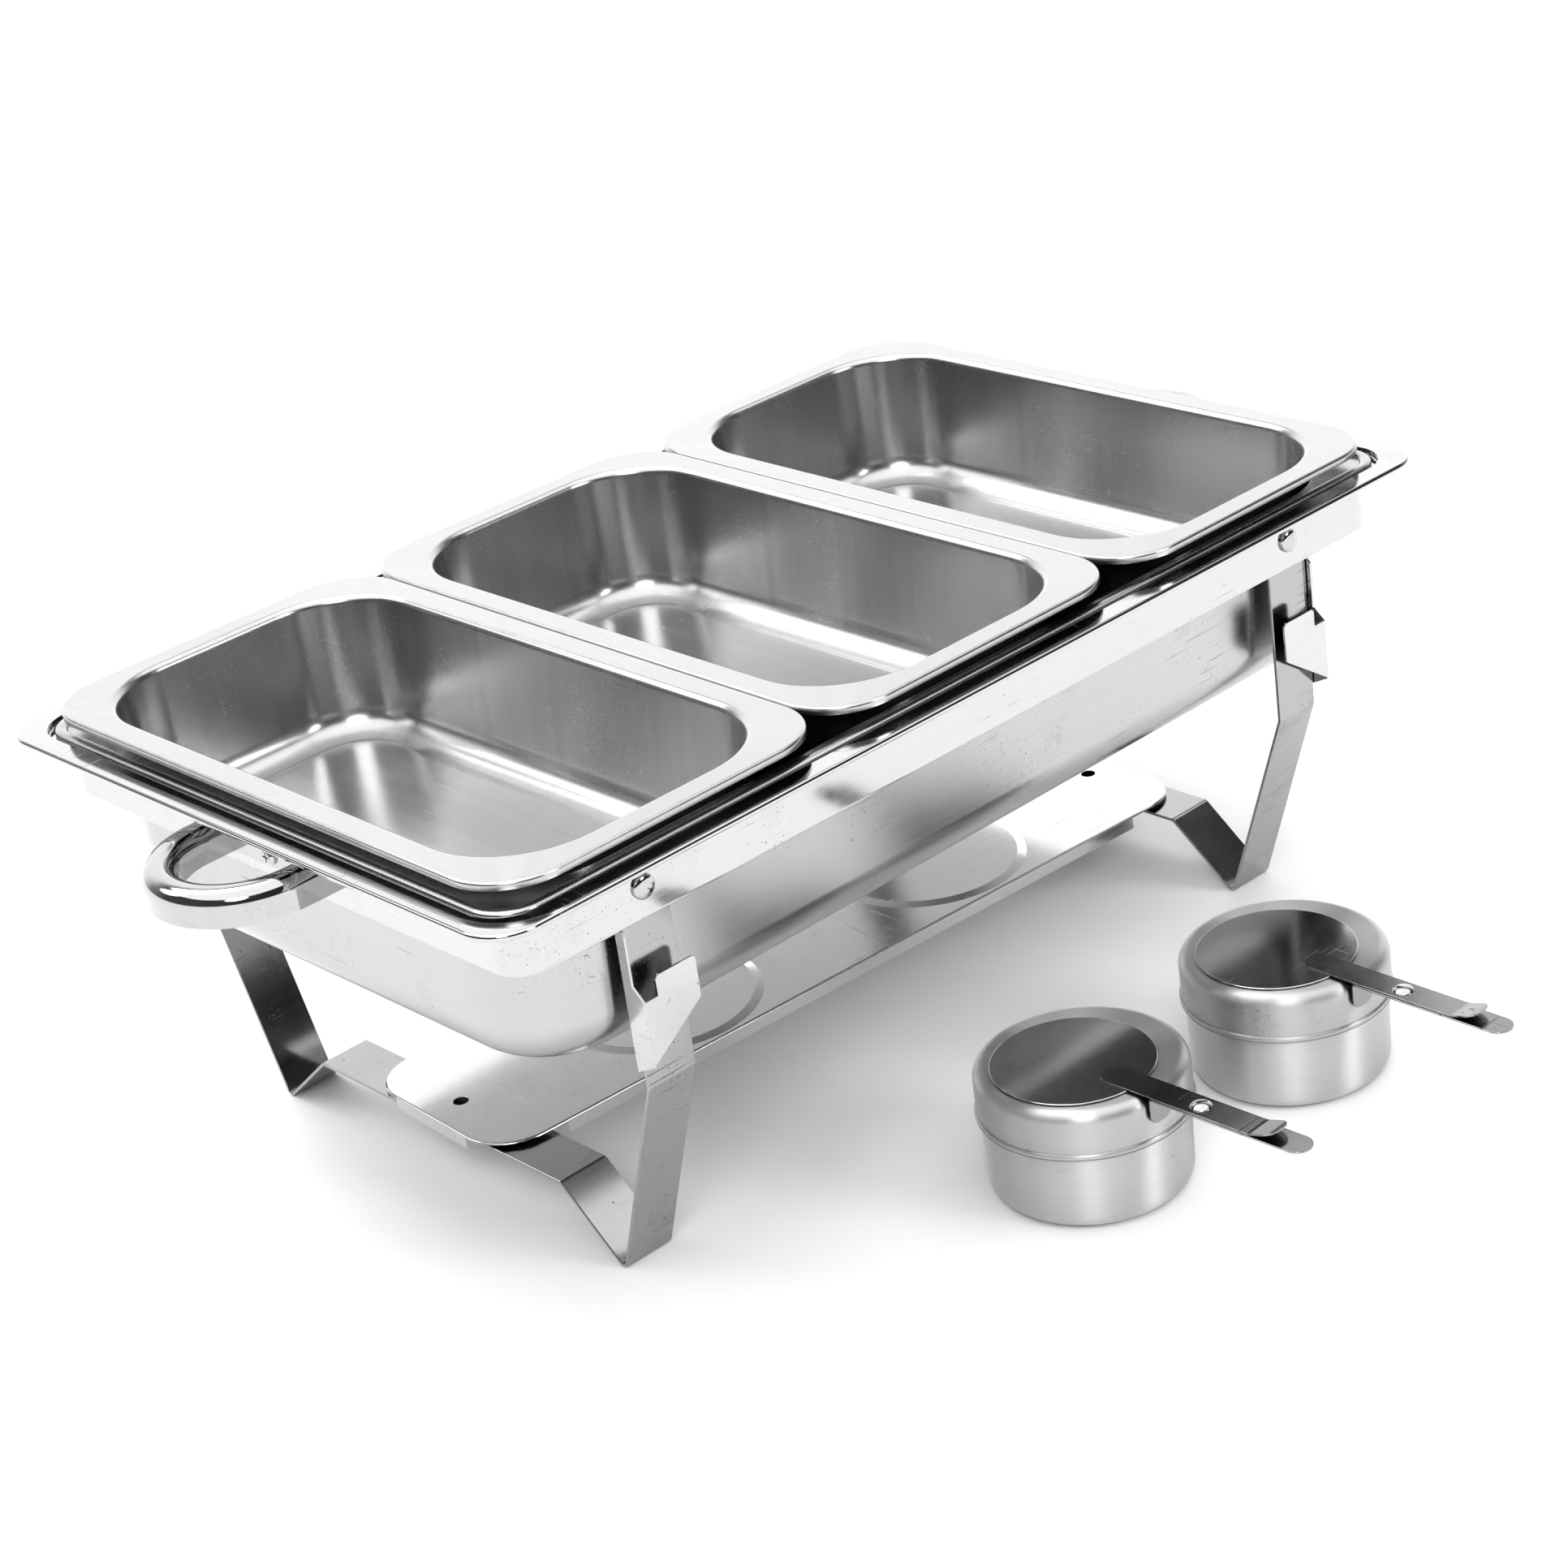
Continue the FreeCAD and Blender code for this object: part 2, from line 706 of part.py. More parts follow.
def food_pan(label, place_x, place_y):
    """One of the food pans that share the water pan."""
    pan = drawn_pan(
        ("food_width", "food_length"), "food_corner", size("food_top") - "food_lip", 1.0,
        ("bowl_width", "bowl_length"), "bowl_corner", "food_floor", "food_top",
        "food_taper", "food_bottom_round",
    )
    mouth_x = size("bowl_width").value / 2
    mouth_y = size("bowl_length").value / 2

    def mouth(edge):
        far_x, far_y = reach(edge)
        return far_x < mouth_x + 1 and far_y < mouth_y + 1

    pan = soften(pan, 0.75, flat_at("food_top", mouth))
    finish(pan, label, x=place_x, y=DISH_Y + place_y)


def fuel_shelf():
    """Shelf that hooks over the cross strips, with two pressed pads."""
    steel, top = size("steel"), size("shelf_top")
    length, width = size("shelf_length"), size("shelf_width")
    low = top - "shelf_lip"
    plate = rounded_block(length, width, "shelf_corner", top - steel, top)
    side_lips = [
        box(-size("shelf_side_lip") / 2, (width / 2 - steel) if end > 0 else -width / 2, low,
            "shelf_side_lip", steel, "shelf_lip")
        for end in (-1, 1)
    ]
    end_lips = [
        box((length / 2 - steel) if side > 0 else -length / 2, -size("shelf_end_lip") / 2, low,
            steel, "shelf_end_lip", "shelf_lip")
        for side in (-1, 1)
    ]
    body = join(plate, *side_lips, *end_lips)

    def bend(edge):
        far_x, far_y = reach(edge)
        on_side = abs(far_y - width.value / 2) < 0.01 and far_x < 1
        on_end = abs(far_x - length.value / 2) < 0.01 and far_y < 1
        return on_side or on_end

    body = soften(body, 0.7, flat_at(top, bend))
    pads = [cone("pad_foot", "pad_head", "pad_rise", size("pad_spread") * side, 0, top)
            for side in (-1, 1)]
    hollows = [
        cone(size("pad_foot") - 0.6, size("pad_head") - 0.6, "pad_rise",
             size("pad_spread") * side, 0, top - steel)
        for side in (-1, 1)
    ]
    holes = [cylinder("shelf_hole", 6, size("shelf_hole_spread") * side, 0, top - 3)
             for side in (-1, 1)]
    shelf = cut(join(body, *pads), *hollows, *holes)
    finish(shelf, "fuel_shelf", x="shelf_shift_x", y=DISH_Y + "shelf_shift_y",
           turn="shelf_turn")


def fuel_can(label, x, y, turn):
    """Open can for gel fuel, a little narrower at the foot."""
    wall = size("can_wall")
    outside = cone("can_foot", "can_mouth", "can_height")
    outside = soften(outside, "can_round", round_at("can_foot", 0))
    inside = cone(size("can_foot") - wall, size("can_mouth") - wall + 0.02, size("can_height") - wall + 1,
                  0, 0, wall)
    inside = soften(inside, size("can_round") - wall, round_at(size("can_foot") - wall, wall))
    finish(cut(outside, inside), label, x, DISH_Y + y, turn=turn)


def fuel_lid(label, x, y, turn):
    """Pressed cap with a beaded hem and a round mouth for the flame."""
    wall, top = size("lid_wall"), size("lid_top")
    outside = cylinder("lid_radius", top - "lid_hem", 0, 0, "lid_hem")
    outside = soften(outside, "lid_round", round_at("lid_radius", top))
    inside = cylinder(size("lid_radius") - wall, top - "lid_hem" - wall + 1, 0, 0, size("lid_hem") - 1)
    inside = soften(inside, size("lid_round") - wall, round_at(size("lid_radius") - wall, top - wall))
    bead = cut(
        cylinder("lid_bead", 2.6, 0, 0, "lid_hem"),
        cylinder(size("lid_radius") - wall / 2, 4, 0, 0, size("lid_hem") - 1),
    )
    bead = soften(bead, 0.75, lambda edge: round_at("lid_bead", "lid_hem")(edge)
                  or round_at("lid_bead", size("lid_hem") + 2.6)(edge))
    mouth = cylinder("lid_mouth", 6, 0, 0, top - 3)
    finish(join(cut(outside, inside, mouth), bead), label, x, DISH_Y + y, turn=turn)


def strip_blank(inner, outer, low, thick, round_inner, round_outer):
    """A flat strip pointing along -Y, with a round end where asked."""
    half = size("arm_width") / 2
    start = as_size(inner) + half if round_inner else as_size(inner)
    stop = as_size(outer) - half if round_outer else as_size(outer)
    side = size("handle_side")
    pieces = [box(side - half, -stop, low, half * 2, stop - start, thick)]
    if round_inner:
        pieces.append(cylinder(half, thick, side, -start, low))
    if round_outer:
        pieces.append(cylinder(half, thick, side, -stop, low))
    return join(*pieces)


def lid_grip(label, x, y, turn):
    """Fixed lower strip of the lid, with the tab that ties it to the cap."""
    steel = size("steel")
    strip = strip_blank(size("lid_radius") + 0.05, "grip_outer", "grip_low", steel, False, True)
    side = size("handle_side")
    tab = box(side - size("arm_width") / 2, -size("lid_radius") - 0.05 - steel, 44.5, "arm_width", steel,
              size("grip_low") - 44.5 + 0.4)
    tab = soften(tab, 4.5, lambda edge: abs(edge.BoundBox.ZMax - 44.5) < 0.01
                 and edge.BoundBox.XMax - edge.BoundBox.XMin < 0.01)
    hole = cylinder("damper_hole", 6, side, -size("damper_pivot"), size("grip_low") - 2)
    finish(cut(join(strip, tab), hole), label, x, DISH_Y + y, turn=turn)


def damper(prefix, x, y, turn):
    """Thin disc over the lid's mouth, its arm with a thumb tab, and the pivot rivet."""
    disc = cylinder("damper_radius", 0.6, "handle_side", 0, "damper_low")
    finish(disc, f"{prefix}_damper_disc", x, DISH_Y + y, turn=turn)
    strip = strip_blank("arm_inner", "arm_outer", "arm_low", "arm_thick", True, False)
    half, low, thick = size("arm_width") / 2, size("arm_low"), size("arm_thick")
    end, side = size("arm_outer"), size("handle_side")
    tip = end + "tab_reach"
    tab = extrude(
        polygon([
            (-end + 0.5, low), (-end, low), (-tip, low + "tab_rise"),
            (-tip - 0.2, low + thick + "tab_rise"), (-end - 0.1, low + thick),
            (-end + 0.5, low + thick),
        ], "YZ"),
        (1, 0, 0), side - half, half * 2,
    )

    plan = rounded_block("arm_width", "tab_plan", "tab_corner", low - 1, low + 6)
    place(plan, x=side, y=size("tab_plan") / 2 - tip - 0.2)
    tab = overlap(tab, plan)
    hole = cylinder("damper_hole", 6, side, -size("damper_pivot"), low - 2)
    finish(cut(join(strip, tab), hole), f"{prefix}_damper_arm", x, DISH_Y + y, turn=turn)
    pivot = -size("damper_pivot")
    head_low = low + thick + "rivet_gap"
    head = cylinder("damper_head", "damper_head_height", side, pivot, head_low)
    head = soften(head, "damper_head_round",
                  round_at("damper_head", head_low + "damper_head_height"))
    shank = cylinder("damper_pin", head_low - "grip_low" + 1, side, pivot, size("grip_low") - 0.6)
    tail = cylinder("damper_tail", 0.9, side, pivot, size("grip_low") - 0.95)
    finish(join(head, shank, tail), f"{prefix}_damper_rivet", x, DISH_Y + y, turn=turn)


rim_frame()
pivot_rivets()
for side_name, side_sign in (("left", -1), ("right", 1)):
    leg_frame(f"leg_frame_{side_name}", side_sign)
    end_handle(f"end_handle_{side_name}", side_sign)
    for end_name, end_sign in (("front", -1), ("back", 1)):
        leg_bracket(f"leg_bracket_{end_name}_{side_name}", side_sign, end_sign)
handle_screws()
water_pan()
food_pan("food_pan_left", -size("food_pitch"), 0)
food_pan("food_pan_middle", 0, "food_stagger")
food_pan("food_pan_right", "food_pitch", "food_stagger")
fuel_shelf()
for holder in ("front", "back"):
    spot_x, spot_y, spot_turn = f"{holder}_can_x", f"{holder}_can_y", f"{holder}_can_turn"
    fuel_can(f"{holder}_fuel_can", spot_x, spot_y, spot_turn)
    fuel_lid(f"{holder}_fuel_lid", spot_x, spot_y, spot_turn)
    lid_grip(f"{holder}_lid_grip", spot_x, spot_y, spot_turn)
    damper(holder, spot_x, spot_y, spot_turn)
doc.recompute()

for thing in doc.Objects:
    if "Invalid" in thing.State or "Error" in thing.State:
        raise RuntimeError(f"{thing.Name} ({thing.Label}) did not build: {thing.State}")
os.makedirs("parts", exist_ok=True)
for label, solid in nodes.items():
    shape = solid.Shape
    if shape.isNull() or not shape.isValid() or not shape.Solids:
        raise RuntimeError(f"{label} is not a sound solid")
    shape.exportStep(f"parts/{label}.step")
    print(label, len(shape.Solids), "solids", round(shape.Volume), "mm3", shape.BoundBox)
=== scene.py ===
import math

import bmesh
import bpy
from mathutils import Matrix, Vector


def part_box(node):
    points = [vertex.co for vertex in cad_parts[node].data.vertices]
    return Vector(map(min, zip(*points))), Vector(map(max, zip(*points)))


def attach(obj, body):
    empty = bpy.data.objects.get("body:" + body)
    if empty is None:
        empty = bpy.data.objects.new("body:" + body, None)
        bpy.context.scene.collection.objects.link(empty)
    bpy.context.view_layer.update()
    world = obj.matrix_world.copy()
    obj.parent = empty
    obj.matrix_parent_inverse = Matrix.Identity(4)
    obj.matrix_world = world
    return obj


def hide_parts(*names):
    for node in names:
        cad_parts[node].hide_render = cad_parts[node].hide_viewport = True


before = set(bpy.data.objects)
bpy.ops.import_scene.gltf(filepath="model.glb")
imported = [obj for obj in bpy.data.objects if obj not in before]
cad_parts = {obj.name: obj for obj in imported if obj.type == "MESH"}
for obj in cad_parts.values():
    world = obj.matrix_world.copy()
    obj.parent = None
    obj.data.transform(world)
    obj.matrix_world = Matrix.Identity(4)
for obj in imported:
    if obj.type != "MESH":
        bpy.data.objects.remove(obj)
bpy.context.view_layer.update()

# Chafing dish food warmer. Shapes are worked out in millimetres and stored in metres.
MM = 0.001
SHEET = 0.8
WELD_REACH = 1e-7

rim_low, rim_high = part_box("rim_frame")
DISH_X = 0.0
DISH_Y = (rim_low.y + rim_high.y) / 2 / MM


# ---------------------------------------------------------------- shape tools

def arc(centre, radius, start, stop, steps):
    """Points on a circle from one angle in degrees to another."""
    points = []
    for step in range(steps + 1):
        angle = math.radians(start + (stop - start) * step / steps)
        points.append((centre[0] + radius * math.cos(angle), centre[1] + radius * math.sin(angle)))
    return points


def bent(corners, steps=6):
    """A line through corners given as (a, b, radius), with each corner rounded."""
    points = [Vector(corners[0][:2])]
    for before, corner, after in zip(corners, corners[1:], corners[2:]):
        here = Vector(corner[:2])
        to_last = (Vector(before[:2]) - here).normalized()
        to_next = (Vector(after[:2]) - here).normalized()
        half = to_last.angle(to_next) / 2
        radius = corner[2]
        if radius <= 0 or half > math.radians(89.5):
            points.append(here)
            continue
        centre = here + (to_last + to_next).normalized() * (radius / math.sin(half))
        first = here + to_last * (radius / math.tan(half)) - centre
        last = here + to_next * (radius / math.tan(half)) - centre
        turn = first.angle_signed(last)
        for step in range(steps + 1):
            spin = Matrix.Rotation(-turn * step / steps, 2)
            points.append(centre + spin @ first)
    points.append(Vector(corners[-1][:2]))
    return [(point.x, point.y) for point in points]


def outline(half_x, half_y, radius, z, stops_x=(), stops_y=(), steps=14):
    """Points round a rectangle with round corners, with extra points along its sides."""
    points = []
    for index, (sx, sy) in enumerate(((1, 1), (-1, 1), (-1, -1), (1, -1))):
        centre = (sx * (half_x - radius), sy * (half_y - radius))
        points += [(x, y, z) for x, y in arc(centre, radius, 90 * index, 90 * index + 90, steps)]
        if index == 0:
            points += [(x, half_y, z) for x in sorted(stops_x, reverse=True)]
        if index == 1:
            points += [(-half_x, y, z) for y in sorted(stops_y, reverse=True)]
        if index == 2:
            points += [(x, -half_y, z) for x in sorted(stops_x)]
        if index == 3:
            points += [(half_x, y, z) for y in sorted(stops_y)]
    return points


def inset(half_x, half_y, radius, path, **extra):
    """Outlines drawn in by the first number of each pair at the height of the second."""
    return [
        outline(half_x - t, half_y - t, max(radius - t, 0.4), z, **extra)
        for t, z in path
    ]


def round_rings(path, steps=96, centre=(0, 0)):
    """Circles from pairs of radius and height."""
    return [
        [(centre[0] + x, centre[1] + y, z) for x, y in arc((0, 0), radius, 0, 360, steps)[:-1]]
        for radius, z in path
    ]


def skin(mesh, uv_layer, rings, closed=False, caps=()):
    """Join rings of equal count with faces whose surface coordinates are lengths in metres."""
    rows = [[mesh.verts.new(Vector(point) * MM) for point in ring] for ring in rings]
    count = len(rings[0])
    widest = max(rings, key=lambda ring: sum(abs(point[0]) + abs(point[1]) for point in ring))
    around = [0.0]
    for index in range(count):
        step = Vector(widest[(index + 1) % count]) - Vector(widest[index])
        around.append(around[-1] + step.length * MM)
    down = [0.0]
    for ring, following in zip(rings, rings[1:] + rings[:1]):
        down.append(down[-1] + (Vector(following[0]) - Vector(ring[0])).length * MM)
    for row in range(len(rings) if closed else len(rings) - 1):
        upper, lower = rows[row], rows[(row + 1) % len(rows)]
        for index in range(count):
            following = (index + 1) % count
            face = mesh.faces.new((upper[index], upper[following], lower[following], lower[index]))
            spots = ((index, row), (index + 1, row), (index + 1, row + 1), (index, row + 1))
            for loop, (place, level) in zip(face.loops, spots):
                loop[uv_layer].uv = (around[place], down[level])
    for cap in caps:
        face = mesh.faces.new(rows[cap] if cap == 0 else rows[cap][::-1])
        for loop in face.loops:
            loop[uv_layer].uv = (loop.vert.co.x, loop.vert.co.y)


class Piece:
    """One visible piece under construction."""

    def __init__(self, name):
        self.name = name
        self.mesh = bmesh.new()
        self.uv = self.mesh.loops.layers.uv.new("lengths")

    def add(self, rings, **options):
        skin(self.mesh, self.uv, rings, **options)
        return self

    def done(self, body, nodes, slot, material, move, sharp=50):
        """Close the mesh, tie it to its body and give it its finish."""
        bmesh.ops.remove_doubles(self.mesh, verts=self.mesh.verts[:], dist=WELD_REACH)
        bmesh.ops.recalc_face_normals(self.mesh, faces=self.mesh.faces[:])
        self.mesh.transform(move)
        data = bpy.data.meshes.new(self.name)
        self.mesh.to_mesh(data)
        self.mesh.free()
        for face in data.polygons:
            face.use_smooth = True
        data.set_sharp_from_angle(angle=math.radians(sharp))
        thing = bpy.data.objects.new(self.name, data)
        bpy.context.scene.collection.objects.link(thing)
        thing.data.materials.append(material)
        even = thing.modifiers.new("even_normals", "WEIGHTED_NORMAL")
        even.keep_sharp = True
        even.weight = 100
        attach(thing, body)
        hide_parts(*nodes)


def centre_of(node):
    """The middle of a node's box in plan, in millimetres."""
    low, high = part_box(node)
    return (low.x + high.x) / 2 / MM, (low.y + high.y) / 2 / MM


def shifted(x, y, z=0.0, turn=0.0):
    """A move to a place in millimetres, after a turn about Z in degrees."""
    return Matrix.Translation(Vector((x, y, z)) * MM) @ Matrix.Rotation(math.radians(turn), 4, "Z")


def ribbon(path, width, thick, start_round, end_round, side=0.0, edge=0.18):
    """Rings of a strip: the path lies in the YZ plane and the strip's width along X.

    The ends are rounded in plan by start_round and end_round, and edge is the small bevel.
    """
    near, reach, most_bend = 0.02, 0.3, 0.3
    points = [Vector(point) for point in path]
    lengths = [0.0]
    for last, here in zip(points, points[1:]):
        lengths.append(lengths[-1] + (here - last).length)
    total = lengths[-1]

    def spot(distance):
        for index in range(1, len(points)):
            if distance <= lengths[index] + 1e-9:
                share = (distance - lengths[index - 1]) / max(lengths[index] - lengths[index - 1], 1e-9)
                return points[index - 1].lerp(points[index], share)
        return points[-1]

    marks = {round(length, 5) for length in lengths}
    steps = 8
    for far, radius in ((0.0, start_round), (total, end_round)):
        for step in range(steps + 1):
            back = radius * (1 - math.cos(math.radians(90 * step / steps)))
            marks.add(round(abs(far - back), 5))
    rings = []
    for distance in sorted(marks):
        half = width / 2
        for gap, radius in ((distance, start_round), (total - distance, end_round)):
            if gap < radius:
                bow = math.sqrt(max(radius ** 2 - (radius - gap) ** 2, 0.01))
                half = min(half, width / 2 - radius + bow)
        here = spot(distance)
        middle = min(max(distance, near), total - near)
        along = (spot(middle + near) - spot(middle - near)).normalized()
        face = Vector((-along.y, along.x))
        half_thick = thick / 2
        if 0 < distance < total:
            arriving = here - spot(max(distance - reach, 0))
            leaving = spot(min(distance + reach, total)) - here
            bend = abs(arriving.angle(leaving, 0))
            half_thick = thick / 2 / math.cos(min(bend / 2, most_bend))
        bevel = min(edge, thick * 0.35)
        section = [
            (-half + bevel, -half_thick), (half - bevel, -half_thick),
            (half, -half_thick + bevel), (half, half_thick - bevel),
            (half - bevel, half_thick), (-half + bevel, half_thick),
            (-half, half_thick - bevel), (-half, -half_thick + bevel),
        ]
        rings.append([
            (side + across, here.x + face.x * up, here.y + face.y * up) for across, up in section
        ])
    return rings


# ---------------------------------------------------------------- finishes

class Nodes:
    """A small helper for building shader graphs."""

    def __init__(self, name):
        self.material = bpy.data.materials.new(name)
        self.material.use_nodes = True
        self.tree = self.material.node_tree
        self.shader = self.tree.nodes["Principled BSDF"]

    def add(self, kind, **settings):
        node = self.tree.nodes.new(kind)
        for key, value in settings.items():
            setattr(node, key, value)
        return node

    def link(self, source, target):
        self.tree.links.new(source, target)

    def math(self, operation, first, second, clamp=False):
        node = self.add("ShaderNodeMath", operation=operation, use_clamp=clamp)
        for socket, value in zip(node.inputs, (first, second)):
            if isinstance(value, (int, float)):
                socket.default_value = value
            else:
                self.link(value, socket)
        return node.outputs[0]

    def ramp(self, source, low, high, to_low=0.0, to_high=1.0):
        node = self.add("ShaderNodeMapRange", clamp=True)
        self.link(source, node.inputs["Value"])
        node.inputs["From Min"].default_value = low
        node.inputs["From Max"].default_value = high
        node.inputs["To Min"].default_value = to_low
        node.inputs["To Max"].default_value = to_high
        return node.outputs["Result"]

    def noise(self, coordinates, scale, stretch=(1, 1, 1), detail=4.0, rough=0.6, turn=0.0):
        mapping = self.add("ShaderNodeMapping")
        mapping.inputs["Scale"].default_value = stretch
        mapping.inputs["Rotation"].default_value = (0, 0, math.radians(turn))
        self.link(coordinates, mapping.inputs["Vector"])
        node = self.add("ShaderNodeTexNoise")
        node.inputs["Scale"].default_value = scale
        node.inputs["Detail"].default_value = detail
        node.inputs["Roughness"].default_value = rough
        self.link(mapping.outputs[0], node.inputs["Vector"])
        return node.outputs["Fac"]


def steel(name, tone, rough, grain=(2, 240), grain_rough=0.08, grain_bump=0.02, smudge=0.06,
          waviness=0.0, scratches=0.0, specks=0.0, use_uv=True, tone_spread=0.05, brushed=0.0):
    """Sheet steel: grain along the sheet, cloudy handling marks, fine scratches and specks."""
    n = Nodes(name)
    coordinates = n.add("ShaderNodeTexCoord")
    place = coordinates.outputs["Object"]
    sheet = coordinates.outputs["UV" if use_uv else "Object"]
    streaks = n.noise(sheet, 1.0, (grain[0], grain[1], grain[1]), 6.0, 0.65)
    broad = n.noise(sheet, 1.0, (grain[0] * 1.5, grain[1] * 0.12, grain[1] * 0.12), 3.0, 0.55)
    clouds = n.noise(place, 11.0, detail=5.0, rough=0.62)
    marks = n.noise(place, 46.0, (1, 1, 1), 6.0, 0.7)

    level = n.math("MULTIPLY_ADD", streaks, tone_spread)
    level.node.inputs[2].default_value = tone - tone_spread / 2
    dull = n.ramp(marks, 0.56, 0.74, 0.0, smudge * 0.9)
    level = n.math("SUBTRACT", level, dull)
    if scratches:
        lines_a = n.noise(place, 1.0, (14, 900, 900), 2.0, 0.5, turn=27)
        lines_b = n.noise(place, 1.0, (900, 18, 900), 2.0, 0.5, turn=-16)
        sparse = n.ramp(n.noise(place, 23.0, detail=2.0), 0.5, 0.62)
        both = n.math("MAXIMUM", n.ramp(lines_a, 0.66, 0.72), n.ramp(lines_b, 0.66, 0.72))
        hair = n.math("MULTIPLY", n.math("MULTIPLY", both, sparse), scratches)
        level = n.math("SUBTRACT", level, n.math("MULTIPLY", hair, 0.25))
    if specks:
        cells = n.add("ShaderNodeTexVoronoi")
        cells.inputs["Scale"].default_value = 95.0
        n.link(place, cells.inputs["Vector"])
        dots = n.ramp(cells.outputs["Distance"], 0.035, 0.06, 1.0, 0.0)
        rare = n.ramp(n.noise(place, 60.0, detail=0.0), 0.6, 0.64)
        level = n.math("SUBTRACT", level, n.math("MULTIPLY", n.math("MULTIPLY", dots, rare), specks))
    colour = n.add("ShaderNodeCombineColor")
    for channel in colour.inputs:
        n.link(level, channel)
    n.link(colour.outputs[0], n.shader.inputs["Base Color"])

    gloss = n.math("MULTIPLY_ADD", streaks, grain_rough)
    gloss.node.inputs[2].default_value = rough - grain_rough / 2
    gloss = n.math("ADD", gloss, n.ramp(clouds, 0.42, 0.68, 0.0, smudge))
    if scratches:
        gloss = n.math("ADD", gloss, n.math("MULTIPLY", hair, 0.35))
    gloss = n.math("MAXIMUM", gloss, 0.02, clamp=True)
    n.link(gloss, n.shader.inputs["Roughness"])

    height = n.math("MULTIPLY_ADD", broad, 0.6)
    n.link(streaks, height.node.inputs[2])
    bump = n.add("ShaderNodeBump")
    bump.inputs["Strength"].default_value = grain_bump
    bump.inputs["Distance"].default_value = 0.0002
    n.link(height, bump.inputs["Height"])
    if waviness:
        waves = n.add("ShaderNodeBump")
        waves.inputs["Strength"].default_value = 1.0
        waves.inputs["Distance"].default_value = waviness * MM
        n.link(n.noise(place, 9.0, detail=1.0, rough=0.4), waves.inputs["Height"])
        n.link(waves.outputs[0], bump.inputs["Normal"])
    n.link(bump.outputs[0], n.shader.inputs["Normal"])
    n.shader.inputs["Metallic"].default_value = 1.0
    n.shader.inputs["Anisotropic"].default_value = brushed
    n.shader.inputs["Anisotropic Rotation"].default_value = 0.25
    return n.material


mirror_steel = steel("mirror_steel", 0.49, 0.07, grain=(3, 420), grain_rough=0.05, grain_bump=0.012,
                     smudge=0.05, waviness=0.35, scratches=1.0, specks=0.3)
# Leg strip tone kept low: painted shade, standing in for the dark reflection of the shaded floor and
# underside beneath the dish.
strip_steel_painted_dark_reflection = steel("strip_steel_painted_dark_reflection", 0.33, 0.12, grain=(5, 380), grain_rough=0.08, grain_bump=0.02,
                    smudge=0.07, waviness=0.15, scratches=1.0, specks=0.35)
clip_steel = steel("clip_steel", 0.5, 0.12, grain=(8, 300), grain_rough=0.06, grain_bump=0.015,
                   smudge=0.05, scratches=0.8, specks=0.3, use_uv=False)
wall_steel = steel("wall_steel", 0.42, 0.23, grain=(3, 420), grain_rough=0.06, grain_bump=0.012,
                   smudge=0.05, waviness=0.4, scratches=0.7, specks=0.3, brushed=0.5)
bowl_steel = steel("bowl_steel", 0.46, 0.24, grain=(160, 6), grain_rough=0.06, grain_bump=0.03,
                   smudge=0.01, scratches=0.15, tone_spread=0.09, brushed=0.5)
shelf_steel = steel("shelf_steel", 0.6, 0.10, grain=(3, 260), grain_rough=0.06, grain_bump=0.012,
                    smudge=0.05, waviness=0.15, scratches=0.7, specks=0.3)
chrome = steel("chrome", 0.42, 0.06, grain=(8, 200), grain_rough=0.04, grain_bump=0.006,
               smudge=0.05, waviness=0.2, scratches=0.4)
can_steel = steel("can_steel", 0.60, 0.44, grain=(2, 900), grain_rough=0.06, grain_bump=0.012,
                  smudge=0.04, scratches=0.5, tone_spread=0.1, brushed=0.92)
lid_steel = steel("lid_steel", 0.46, 0.36, grain=(3, 700), grain_rough=0.08, grain_bump=0.015,
                  smudge=0.10, scratches=0.8, tone_spread=0.1, brushed=0.88)
disc_steel = steel("disc_steel", 0.4, 0.1, grain=(6, 320), grain_rough=0.07, grain_bump=0.015,
                   smudge=0.08, waviness=0.15, scratches=1.0, specks=0.3)
# Arm and grip tone kept very low: painted shade, standing in for the dark reflection of the dish's
# shaded underside on the damper arms and lid grip strips.
arm_steel_painted_dark_reflection = steel("arm_steel_painted_dark_reflection", 0.24, 0.12, grain=(6, 320), grain_rough=0.07, grain_bump=0.015,
                  smudge=0.08, scratches=1.0, specks=0.2)


def dress(node, material, bevel, angle=35):
    """Give a CAD node soft edges and a finish."""
    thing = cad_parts[node]
    thing.data.materials.clear()
    thing.data.materials.append(material)
    weld = thing.modifiers.new("weld", "WELD")
    weld.merge_threshold = 1e-6
    soft = thing.modifiers.new("soft_edges", "BEVEL")
    soft.width = bevel * MM
    soft.segments = 2
    soft.limit_method = "ANGLE"
    soft.angle_limit = math.radians(angle)
    soft.harden_normals = True
    even = thing.modifiers.new("even_normals", "WEIGHTED_NORMAL")
    even.keep_sharp = True


# ---------------------------------------------------------------- rim frame

RIM_TOP = rim_high.z / MM
LEDGE = RIM_TOP - 3.0
SKIRT_LOW = rim_low.z / MM
RECESS_ROLL = 2.1
# Each outline is half of its length, half of its width, and its corner radius.
rim_edge = ((rim_high.x - rim_low.x) / 2 / MM, (rim_high.y - rim_low.y) / 2 / MM, 20.0)
recess = (267.5, 164.5, 19.0)
skirt_out = (259.0, 159.0, 15.0)
skirt_in = tuple(size - SHEET for size in skirt_out)
